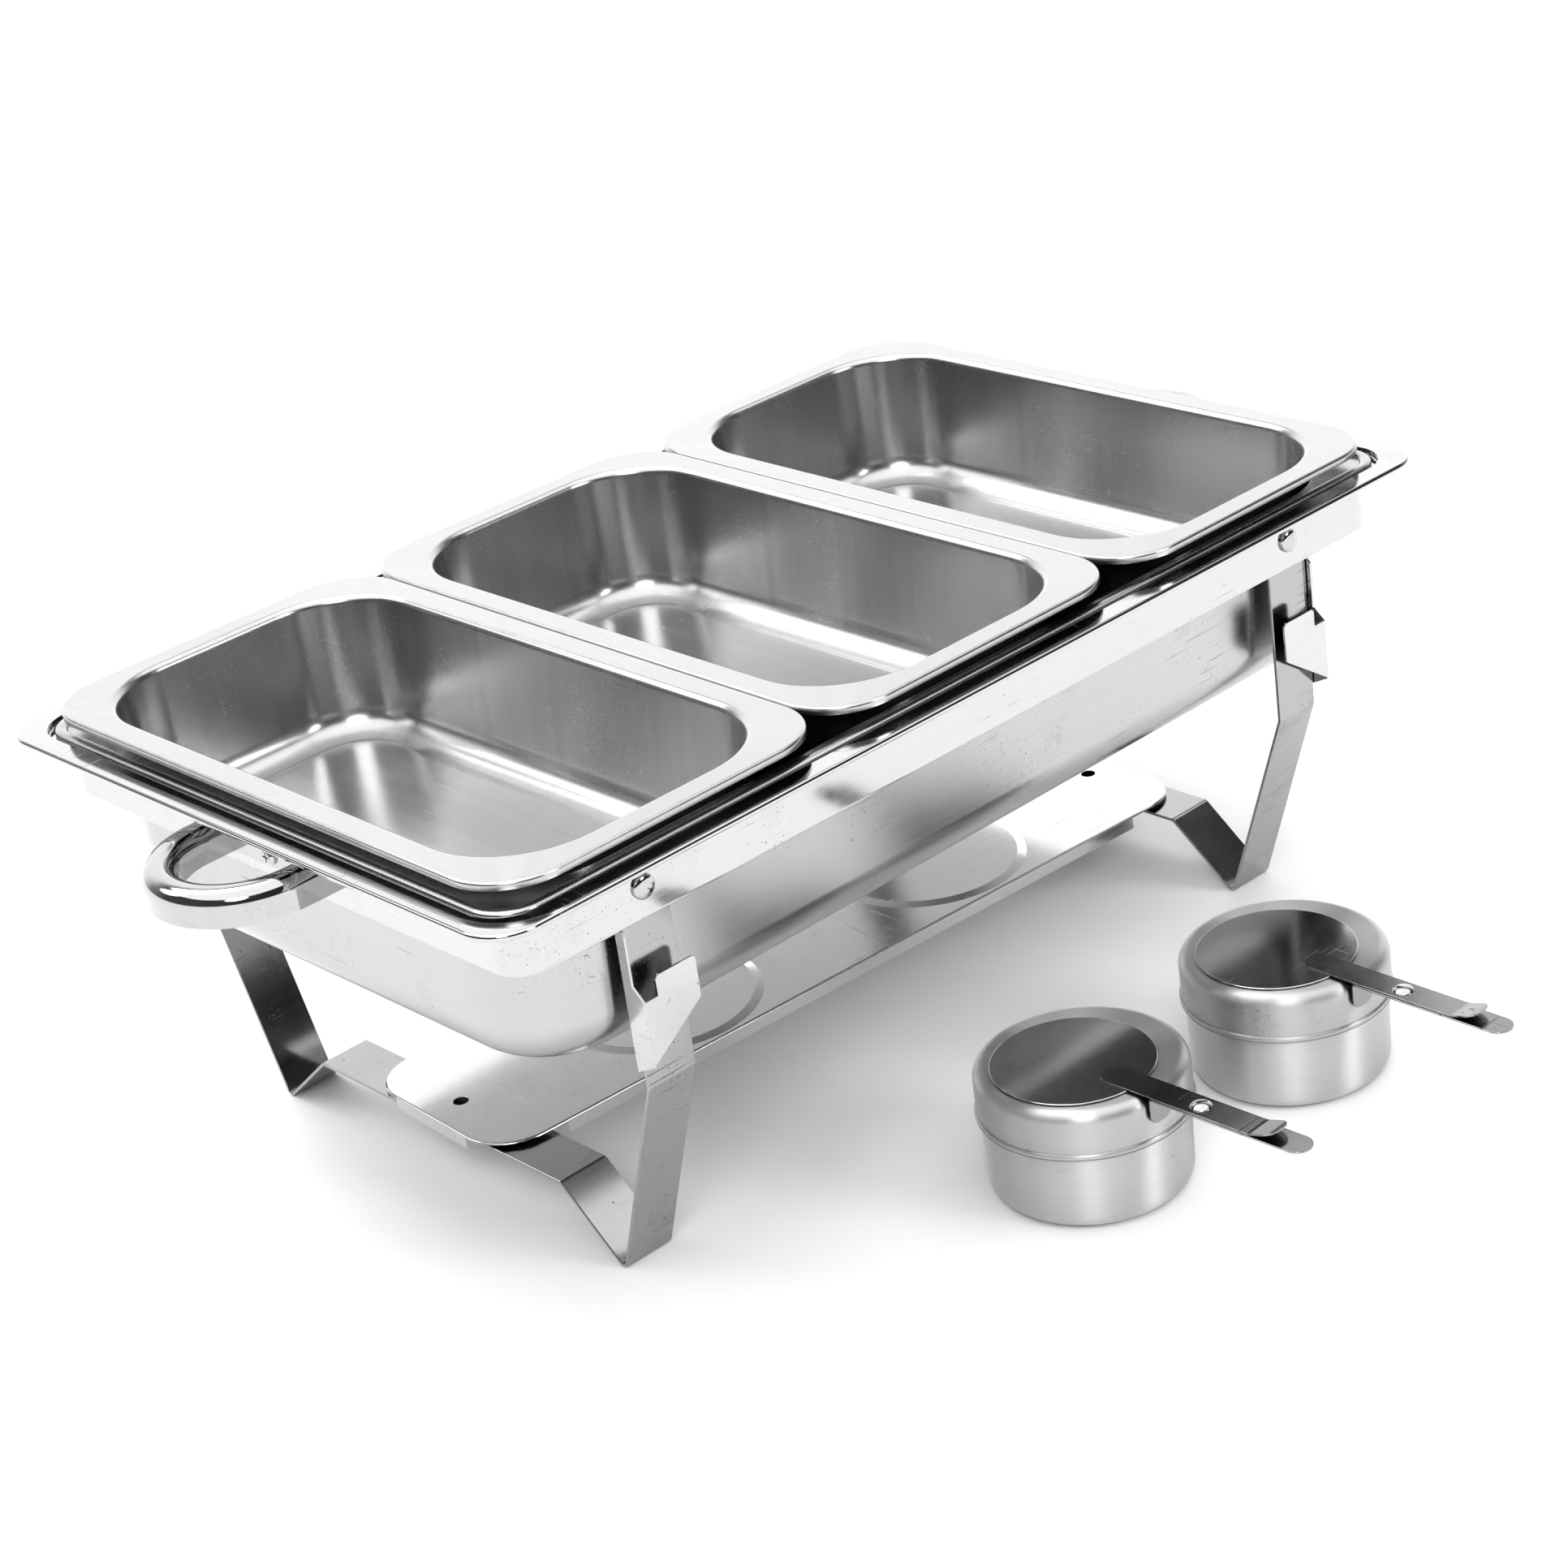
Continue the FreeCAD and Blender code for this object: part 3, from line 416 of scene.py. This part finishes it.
# Each path is pairs of inset and height: over the hem, down into the recess, round the skirt.
rim_rings = inset(*rim_edge, [
    (0.8, RIM_TOP - 2.5), (0.25, RIM_TOP - 2.5), (0.0, RIM_TOP - 2.25), (0.0, RIM_TOP - 1.4),
    (0.12, RIM_TOP - 0.85), (0.45, RIM_TOP - 0.35), (0.9, RIM_TOP - 0.08), (1.5, RIM_TOP),
])
rim_rings += inset(*recess, [(-2.4, RIM_TOP)] + [
    (-RECESS_ROLL * math.cos(math.radians(a)),
     RIM_TOP - RECESS_ROLL + RECESS_ROLL * math.sin(math.radians(a)))
    for a in (82, 65, 48, 30, 15, 0)
] + [(0.0, LEDGE + 0.5), (0.15, LEDGE + 0.15), (0.5, LEDGE), (1.5, LEDGE)])
rim_rings += inset(*skirt_in, [
    (-1.6, LEDGE), (-1.2, LEDGE), (-0.6, LEDGE - 0.17), (-0.17, LEDGE - 0.6), (0.0, LEDGE - 1.2),
    (0.0, SKIRT_LOW + 0.2), (-0.1, SKIRT_LOW + 0.05), (-0.25, SKIRT_LOW),
])
rim_rings += inset(*skirt_out, [
    (0.25, SKIRT_LOW), (0.08, SKIRT_LOW + 0.06), (0.0, SKIRT_LOW + 0.25), (0.0, SKIRT_LOW + 1.0),
    (0.0, LEDGE - 1.6), (-0.2, LEDGE - 1.1), (-0.7, LEDGE - SHEET),
])
rim_rings += inset(*recess, [(-SHEET, LEDGE - SHEET), (-SHEET, RIM_TOP - SHEET)])
rim_rings += inset(*rim_edge, [(SHEET, RIM_TOP - SHEET)])
Piece("rim_shell").add(rim_rings, closed=True).done(
    "dish_frame", ["rim_frame"], "mirror_steel", mirror_steel, shifted(DISH_X, DISH_Y), sharp=60)


# ---------------------------------------------------------------- pans

def pan_rings(flange, bowl, ledge, floor, draft, floor_round, mouth_round, lip, step=0.0):
    """A drawn pan from the middle of its floor, over the flange, and back under the floor.

    flange and bowl are outlines, ledge and floor are heights, lip is pairs of inset and
    height, and step raises the middle of the floor.
    """
    wall = SHEET
    slope = math.tan(math.radians(draft))
    depth = ledge - (floor + wall)
    inner = bent([
        (-30.0, ledge, 0), (0.0, ledge, mouth_round),
        (depth * slope, floor + wall, floor_round), (90.0, floor + wall, 0),
    ], 10)
    inner = inner[1:-1]
    inner_bowl = tuple(value - wall for value in bowl)
    rings = inset(*inner_bowl, [(inner[0][0] - 0.6, ledge)] + inner)
    last = inner[-1][0]
    if step:
        rings += inset(*inner_bowl, [
            (last + 1.0, floor + wall), (last + 2.2, floor + wall + step * 0.2),
            (last + 3.4, floor + wall + step * 0.8), (last + 4.8, floor + wall + step),
            (last + 6.0, floor + wall + step),
        ])
    else:
        rings += inset(*inner_bowl, [(last + 1.0, floor + wall)])
    outside = bent([
        (-30.0, ledge - wall, 0), (0.0, ledge - wall, mouth_round + wall),
        ((ledge - floor) * slope, floor, floor_round + wall), (90.0, floor, 0),
    ], 8)[1:-1]
    under = inset(*bowl, outside + [(outside[-1][0] + 1.0, floor)])
    edge = inset(*flange, lip)
    return rings[::-1] + edge + under


def place_pan(name, rings, body, node, slot, material, x, y):
    Piece(name).add(rings, caps=(0, -1)).done(
        body, [node], slot, material, shifted(x, y), sharp=60)


FOOD_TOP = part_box("food_pan_left")[1].z / MM
food_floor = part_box("food_pan_left")[0].z / MM
# Pairs of inset and height over the flange's edge and under its turned lip.
food_lip = [
    (2.2, FOOD_TOP), (1.3, FOOD_TOP), (0.85, FOOD_TOP - 0.07), (0.45, FOOD_TOP - 0.3),
    (0.13, FOOD_TOP - 0.72), (0.0, FOOD_TOP - 1.3), (0.0, FOOD_TOP - 3.1),
    (0.12, FOOD_TOP - 3.3), (0.35, FOOD_TOP - 3.4), (0.55, FOOD_TOP - 3.35), (SHEET, FOOD_TOP - 3.1),
    (SHEET, FOOD_TOP - SHEET), (2 * SHEET, FOOD_TOP - SHEET),
]
food_rings = pan_rings(
    flange=(87.8, 162.5, 30.0), bowl=(74.5, 149.5, 43.0), ledge=FOOD_TOP, floor=food_floor,
    draft=4.0, floor_round=12.0, mouth_round=3.4, lip=food_lip, step=0.6,
)
for side in ("left", "middle", "right"):
    place_pan(f"food_bowl_{side}", food_rings, f"food_pan_{side}", f"food_pan_{side}",
              "pan_steel", bowl_steel, *centre_of(f"food_pan_{side}"))

BEAD_LOW = LEDGE + 0.3
BEAD_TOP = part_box("water_pan")[1].z / MM
WATER_LEDGE = LEDGE + 1.3
water_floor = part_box("water_pan")[0].z / MM
BEAD_HALF = 2.75
BEAD_RISE = 1.5
# Pairs of inset and height from the flange, over the bead, and back under it.
bead = [(8.0, WATER_LEDGE), (6.3, WATER_LEDGE), (5.75, WATER_LEDGE + 0.12),
        (2 * BEAD_HALF, WATER_LEDGE + 0.5)]
bead += [
    (BEAD_HALF + BEAD_HALF * math.cos(math.radians(a)),
     BEAD_TOP - BEAD_RISE + BEAD_RISE * math.sin(math.radians(a)))
    for a in range(0, 181, 15)
]
bead += [(0.0, BEAD_LOW + 0.3), (0.3, BEAD_LOW), (SHEET, BEAD_LOW), (SHEET, WATER_LEDGE - SHEET),
         (2 * SHEET, WATER_LEDGE - SHEET)]
water_rings = pan_rings(
    flange=(265.0, 162.5, 18.0), bowl=(252.5, 152.0, 45.0), ledge=WATER_LEDGE,
    floor=water_floor, draft=2.0, floor_round=21.2, mouth_round=2.0, lip=bead,
)
place_pan("water_basin", water_rings, "water_pan", "water_pan", "satin_steel", wall_steel,
          DISH_X, DISH_Y)


# ---------------------------------------------------------------- legs, rivets and clips

LEG_THICK = 1.5
LEG_WIDTH = 25.0
half_strip = LEG_THICK / 2
# Half of the strip's path: corners given as distance from the middle, height and bend radius.
leg_half = [
    (157.05, 195.0, 0), (157.05, 101.0, 2.6), (120.0, half_strip, 2.4), (85.0, 29.3 + half_strip, 2.4),
]
leg_path = bent(leg_half + [(-y, z, bend) for y, z, bend in reversed(leg_half)], 6)
leg_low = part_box("leg_frame_left")[0].z / MM
for side in ("left", "right"):
    rings = ribbon(leg_path, LEG_WIDTH, LEG_THICK, start_round=8.0, end_round=8.0, edge=0.25)
    lowest = min(point[2] for ring in rings for point in ring)
    Piece(f"leg_strip_{side}").add(rings, caps=(0, -1)).done(
        f"{side}_legs", [f"leg_frame_{side}"], "satin_steel", strip_steel_painted_dark_reflection,
        shifted(centre_of(f"leg_frame_{side}")[0], DISH_Y, leg_low - lowest), sharp=35)

PIVOT_X, PIVOT_Z = 195.0, 185.5
RIVET_SEAT = 159.1
RIVET_HEAD = 5.4
POINT = 0.02
rivet = Piece("leg_rivets")
# Pairs of radius and height over the seat: domed head, shank and the closed end inside.
dome = [(POINT, 2.6)] + [
    (RIVET_HEAD * math.sin(math.radians(a)) ** 0.9, 0.7 + 1.9 * math.cos(math.radians(a)))
    for a in range(12, 91, 13)
] + [(RIVET_HEAD, 0.0), (2.5, 0.0), (2.5, -4.8), (4.0, -4.85), (4.0, -5.8), (POINT, -5.8)]
for sx in (-1, 1):
    for sy in (-1, 1):
        rings = []
        for ring in round_rings(dome, 40):
            rings.append([
                (PIVOT_X * sx + x, sy * (RIVET_SEAT + z), PIVOT_Z + y) for x, y, z in ring
            ])
        rivet.add(rings, caps=(0, -1))
rivet.done("dish_frame", ["leg_pivot_rivets"], "chrome", chrome, shifted(DISH_X, DISH_Y), sharp=50)

for side in ("left", "right"):
    for end in ("front", "back"):
        dress(f"leg_bracket_{end}_{side}", clip_steel, bevel=0.28)


# ---------------------------------------------------------------- end handles

HANDLE_LOW, HANDLE_TOP = 177.5, 192.5
HANDLE_RADIUS = 34.5
HANDLE_ARM = 13.5


def handle_section():
    """The handle's cross-section, a channel open below, as pairs of offset and height."""
    half, wall, bend = 7.5, 1.2, 6.5
    outer = bent([
        (-half, HANDLE_LOW, 0), (-half, HANDLE_TOP, bend),
        (half, HANDLE_TOP, bend), (half, HANDLE_LOW, 0),
    ], 8)
    inner = bent([
        (half - wall, HANDLE_LOW, 0), (half - wall, HANDLE_TOP - wall, bend - wall),
        (-half + wall, HANDLE_TOP - wall, bend - wall), (-half + wall, HANDLE_LOW, 0),
    ], 6)
    return outer + inner


def handle_rings():
    """Sections round the handle's loop."""
    stations = [(0.0, -HANDLE_RADIUS, -90.0), (HANDLE_ARM, -HANDLE_RADIUS, -90.0)]
    stations += [
        (HANDLE_ARM + HANDLE_RADIUS * math.cos(math.radians(a)),
         HANDLE_RADIUS * math.sin(math.radians(a)), a)
        for a in range(-85, 90, 5)
    ]
    stations += [(HANDLE_ARM, HANDLE_RADIUS, 90.0), (0.0, HANDLE_RADIUS, 90.0)]
    rings = []
    for x, y, heading in stations:
        out = Vector((math.cos(math.radians(heading)), math.sin(math.radians(heading))))
        rings.append([(x + out.x * across, y + out.y * across, z) for across, z in handle_section()])
    return rings


for side, sign in (("left", -1), ("right", 1)):
    loop = Piece(f"handle_{side}").add(handle_rings(), caps=(0, -1))
    strap = outline(0.6, HANDLE_RADIUS, 0.3, 0.0, steps=2)
    rows = [
        [(x + 0.6, y, z) for x, y, _ in strap]
        for z in (HANDLE_LOW, HANDLE_LOW + 0.2, HANDLE_LOW + 10.8, HANDLE_LOW + 11.0)
    ]
    loop.add(rows, caps=(0, -1))
    turn = 0.0 if sign > 0 else 180.0
    loop.done("dish_frame", [f"end_handle_{side}"], "chrome", chrome,
              shifted(skirt_out[0] * sign, DISH_Y, 0.0, turn), sharp=50)
dress("handle_screws", chrome, bevel=0.12)


# ---------------------------------------------------------------- fuel shelf

SHELF_TOP = 31.9
SHELF_HALF_X, SHELF_HALF_Y = 210.5, 51.5
SIDE_LIP, END_LIP = 173.0, 26.5
PAD_X, PAD_RADIUS, PAD_RISE = 83.0, 49.7, 0.9
HOLE_X, HOLE_RADIUS = 194.0, 3.5
PAD_STEPS, HOLE_STEPS = 96, 24


def shelf_edge(path):
    """Rings round the shelf; the lips hang only along the straight parts of its sides."""
    tiny = 0.02
    rings = inset(
        SHELF_HALF_X, SHELF_HALF_Y, 24.0, path,
        stops_x=(-SIDE_LIP - tiny, -SIDE_LIP, SIDE_LIP, SIDE_LIP + tiny),
        stops_y=(-END_LIP - tiny, -END_LIP, END_LIP, END_LIP + tiny),
    )
    for ring, (_, z) in zip(rings, path):
        for index, (x, y, _) in enumerate(ring):
            if abs(abs(y) - SHELF_HALF_Y) < 1.2:
                lip = abs(x) <= SIDE_LIP + 0.001
            else:
                lip = abs(y) <= END_LIP + 0.001 and abs(x) > 205
            if z < SHELF_TOP - 0.75 and not lip:
                ring[index] = (x, y, SHELF_TOP - SHEET)
    return rings


shelf = Piece("shelf_plate")
edge_rings = shelf_edge([
    (1.4, SHELF_TOP), (0.9, SHELF_TOP), (0.45, SHELF_TOP - 0.11), (0.11, SHELF_TOP - 0.45),
    (0.0, SHELF_TOP - 0.7), (0.0, SHELF_TOP - 6.35), (0.15, SHELF_TOP - 6.5),
    (0.65, SHELF_TOP - 6.5), (SHEET, SHELF_TOP - 6.35), (SHEET, SHELF_TOP - SHEET),
])
shelf.add(edge_rings)


def plate_fill(piece, height, border):
    """A level sheet inside a border, with round openings for the pads and holes."""
    loops = [border]
    pad_round = arc((0, 0), PAD_RADIUS, 0, 360, PAD_STEPS)[:-1]
    hole_round = arc((0, 0), HOLE_RADIUS + 0.1, 0, 360, HOLE_STEPS)[:-1]
    for sign in (-1, 1):
        loops.append([(PAD_X * sign + x, y) for x, y in pad_round])
        loops.append([(HOLE_X * sign + x, y) for x, y in hole_round])
    edges = []
    for loop in loops:
        verts = [piece.mesh.verts.new(Vector((x, y, height)) * MM) for x, y in loop]
        edges += [piece.mesh.edges.new(pair) for pair in zip(verts, verts[1:] + verts[:1])]
    filled = bmesh.ops.triangle_fill(piece.mesh, use_beauty=True, edges=edges, normal=(0, 0, 1))
    for item in filled["geom"]:
        if isinstance(item, bmesh.types.BMFace):
            for spot in item.loops:
                spot[piece.uv].uv = (spot.vert.co.x, spot.vert.co.y)


plate_fill(shelf, SHELF_TOP, [(x, y) for x, y, _ in edge_rings[0]])
plate_fill(shelf, SHELF_TOP - SHEET, [(x, y) for x, y, _ in edge_rings[-1]])
for sign in (-1, 1):
    for face in (SHELF_TOP, SHELF_TOP - SHEET):
        pad = bent([
            (PAD_RADIUS, face, 0), (PAD_RADIUS - 0.6, face, 0.5),
            (PAD_RADIUS - 5.1, face + PAD_RISE, 0.9), (40.0, face + PAD_RISE, 0),
        ], 5)
        shelf.add(round_rings(pad, PAD_STEPS, (PAD_X * sign, 0)), caps=(-1,))
    hole = [
        (HOLE_RADIUS + 0.1, SHELF_TOP), (HOLE_RADIUS, SHELF_TOP - 0.1),
        (HOLE_RADIUS, SHELF_TOP - SHEET + 0.1), (HOLE_RADIUS + 0.1, SHELF_TOP - SHEET),
    ]
    shelf.add(round_rings(hole, HOLE_STEPS, (HOLE_X * sign, 0)))
shelf.done("shelf", ["fuel_shelf"], "satin_steel", shelf_steel,
           shifted(0.2, DISH_Y - 10.0, 0.0, -2.9), sharp=40)


# ---------------------------------------------------------------- fuel holders

ROUND_STEPS = 128
SIDE = -4.5
STRIP_WIDTH = 13.0
PIN_Y = -67.5

# Paths are pairs of radius and height, or corners with a bend radius, in millimetres.
can_path = bent([(POINT, 0.0, 0), (43.2, 0.0, 6.0), (44.5, 52.9, 0)], 10)
can_path += [(44.45, 53.0), (44.1, 53.0), (43.95, 52.8)]
can_path += bent([(43.9, 52.6, 0), (42.62, 0.6, 5.4), (POINT, 0.6, 0)], 8)

lid_path = [(46.0, 35.2)] + [
    (45.35 + 0.85 * math.cos(math.radians(a)), 36.5 + 1.3 * math.sin(math.radians(a)))
    for a in range(-70, 91, 16)
]
lid_path += [(45.4, 38.2)] + bent([(45.4, 38.6, 0), (45.4, 56.5, 5.0), (30.6, 56.5, 0)], 10)[1:]
lid_path += [(30.2, 56.45), (30.0, 56.3), (30.1, 56.05), (30.6, 56.0)]
lid_path += bent([(31.0, 56.0, 0), (44.9, 56.0, 4.5), (44.9, 36.0, 0)], 8)[1:]
lid_path += [(44.95, 35.3), (45.2, 35.2)]

disc_path = [
    (POINT, 57.6), (34.4, 57.6), (34.75, 57.5), (34.9, 57.3), (34.75, 57.08), (34.4, 57.0),
    (POINT, 57.0),
]
pin_path = [
    (POINT, 59.95), (1.6, 59.86), (2.8, 59.6), (3.8, 59.15), (4.35, 58.75), (4.6, 58.4),
    (2.0, 58.4), (2.0, 56.3), (3.2, 56.3), (3.2, 55.5), (POINT, 55.45),
]
grip_path = bent([(-45.85, 44.5, 0), (-45.85, 56.8, 1.2), (-121.5, 56.8, 0)], 6)
arm_path = bent([
    (-17.0, 57.95, 0), (-96.2, 57.95, 9.0), (-105.6, 60.75, 4.0), (-107.75, 61.2, 0),
], 6)


def holder_piece(name, rings, body, node, slot, material, move, sharp, **joining):
    Piece(name).add(rings, **joining).done(body, [node], slot, material, move, sharp)


for holder, turn in (("front", 1.7), ("back", 0.3)):
    move = shifted(*centre_of(f"{holder}_fuel_can"), 0.0, turn)
    holder_piece(
        f"{holder}_can_wall", round_rings(can_path, ROUND_STEPS),
        f"{holder}_can", f"{holder}_fuel_can", "can_steel", can_steel, move, 50, caps=(0, -1))
    holder_piece(
        f"{holder}_cap", round_rings(lid_path, ROUND_STEPS),
        f"{holder}_lid", f"{holder}_fuel_lid", "lid_steel", lid_steel, move, 60, closed=True)
    holder_piece(
        f"{holder}_disc", round_rings(disc_path, ROUND_STEPS, (SIDE, 0)),
        f"{holder}_damper", f"{holder}_damper_disc", "dark_steel", disc_steel, move, 50, caps=(0, -1))
    holder_piece(
        f"{holder}_grip_strip", ribbon(grip_path, STRIP_WIDTH, 0.8, 4.5, 6.49, SIDE),
        f"{holder}_lid", f"{holder}_lid_grip", "dark_steel", arm_steel_painted_dark_reflection, move, 35, caps=(0, -1))
    holder_piece(
        f"{holder}_arm_strip", ribbon(arm_path, STRIP_WIDTH, 0.7, 6.49, 4.5, SIDE, edge=0.12),
        f"{holder}_damper", f"{holder}_damper_arm", "dark_steel", arm_steel_painted_dark_reflection, move, 35, caps=(0, -1))
    holder_piece(
        f"{holder}_damper_pin", round_rings(pin_path, 40, (SIDE, PIN_Y)),
        f"{holder}_lid", f"{holder}_damper_rivet", "chrome", chrome, move, 50, caps=(0, -1))


# ---------------------------------------------------------------- studio

def floor_finish():
    """Matt white paper with a faint mottle."""
    n = Nodes("studio_floor")
    coordinates = n.add("ShaderNodeTexCoord")
    mottle = n.noise(coordinates.outputs["Object"], 3.0, detail=2.0)
    level = n.ramp(mottle, 0.3, 0.7, 0.885, 0.9)
    colour = n.add("ShaderNodeCombineColor")
    for channel in colour.inputs:
        n.link(level, channel)
    n.link(colour.outputs[0], n.shader.inputs["Base Color"])
    n.shader.inputs["Roughness"].default_value = 0.6
    n.shader.inputs["Specular IOR Level"].default_value = 0.25
    return n.material


FLOOR_REACH = 60.0


def studio():
    """White floor, a bright backdrop behind on the right, dim surroundings, soft lights."""
    data = bpy.data.meshes.new("studio_floor")
    mesh = bmesh.new()
    bmesh.ops.create_grid(mesh, x_segments=8, y_segments=8, size=FLOOR_REACH)
    mesh.to_mesh(data)
    mesh.free()
    floor = bpy.data.objects.new("studio_floor", data)
    bpy.context.scene.collection.objects.link(floor)
    floor.location = (0, 0, -0.0002)
    data.materials.append(floor_finish())

    world = bpy.data.worlds.new("studio")
    bpy.context.scene.world = world
    world.use_nodes = True
    nodes, links = world.node_tree.nodes, world.node_tree.links
    where = nodes.new("ShaderNodeTexCoord").outputs["Generated"]

    def facing(direction):
        """How far the view of the surroundings points one way, from 0 to 1."""
        dot = nodes.new("ShaderNodeVectorMath")
        dot.operation = "DOT_PRODUCT"
        dot.inputs[1].default_value = Vector(direction).normalized()
        links.new(where, dot.inputs[0])
        half = nodes.new("ShaderNodeMath")
        half.operation = "MULTIPLY_ADD"
        half.inputs[1].default_value = 0.5
        half.inputs[2].default_value = 0.5
        links.new(dot.outputs["Value"], half.inputs[0])
        return half.outputs[0]

    def graded(source, stops):
        """A grey level that follows stops given as (from -1 to 1, level)."""
        shade = nodes.new("ShaderNodeValToRGB")
        links.new(source, shade.inputs[0])
        elements = shade.color_ramp.elements
        while len(elements) < len(stops):
            elements.new(0.5)
        for element, (position, level) in zip(elements, stops):
            element.position = position / 2 + 0.5
            element.color = (level, level, level, 1)
        return shade.outputs[0]

    def combined(operation, first, second):
        """Two grey levels multiplied or added."""
        node = nodes.new("ShaderNodeVectorMath")
        node.operation = operation
        links.new(first, node.inputs[0])
        links.new(second, node.inputs[1])
        return node.outputs[0]

    backdrop = combined(
        "MULTIPLY",
        graded(facing((0.62, 0.78, 0.0)), ((0.1, 0.0), (0.5, 0.3), (0.76, 1.55), (1.0, 1.8))),
        graded(facing((0, 0, 1)), ((-1.0, 1.0), (0.52, 1.0), (0.66, 0.12), (1.0, 0.0))),
    )
    room = graded(facing((0.3, -0.75, 0.2)), ((-1.0, 0.12), (0.0, 0.08), (1.0, 0.04)))
    total = combined("ADD", backdrop, room)
    links.new(total, nodes["Background"].inputs["Color"])

    # Name, direction of the light's source, its width in degrees, and its strength.
    suns = (
        ("overhead", (-0.05, 0.0, 1.0), 90, 3.2),
        ("back", (0.05, 0.50, 0.85), 34, 1.5),
        ("back_left", (-0.41, 0.62, 0.62), 26, 0.5),
        ("left", (-0.72, -0.66, 0.72), 22, 0.8),
        ("front", (0.34, -0.9, 0.45), 20, 1.0),
    )
    for name, source, spread, power in suns:
        light = bpy.data.lights.new(name, "SUN")
        light.angle = math.radians(spread)
        light.energy = power
        lamp = bpy.data.objects.new(name, light)
        lamp.rotation_euler = (-Vector(source)).to_track_quat("-Z", "Y").to_euler()
        bpy.context.scene.collection.objects.link(lamp)


def camera():
    """The viewpoint: in front to the left and above, tipped by a few degrees."""
    azimuth, down, roll = 0.69231, 0.44474, -0.14487
    place = Vector((-0.89496, DISH_Y * MM - 1.09649, 0.77675))
    look = Vector((
        math.sin(azimuth) * math.cos(down), math.cos(azimuth) * math.cos(down), -math.sin(down),
    ))
    right = look.cross(Vector((0, 0, 1))).normalized()
    up = right.cross(look)
    right_rolled = right * math.cos(roll) + up * math.sin(roll)
    up_rolled = up * math.cos(roll) - right * math.sin(roll)
    data = bpy.data.cameras.new("camera")
    data.sensor_width = 36.0
    data.lens = 78.02
    data.clip_end = 50.0
    view = bpy.data.objects.new("camera", data)
    turned = Matrix((right_rolled, up_rolled, -look)).transposed().to_4x4()
    view.matrix_world = Matrix.Translation(place) @ turned
    bpy.context.scene.collection.objects.link(view)
    bpy.context.scene.camera = view


studio()
camera()
bpy.context.scene.view_settings.view_transform = "Standard"
bpy.context.scene.view_settings.look = "None"
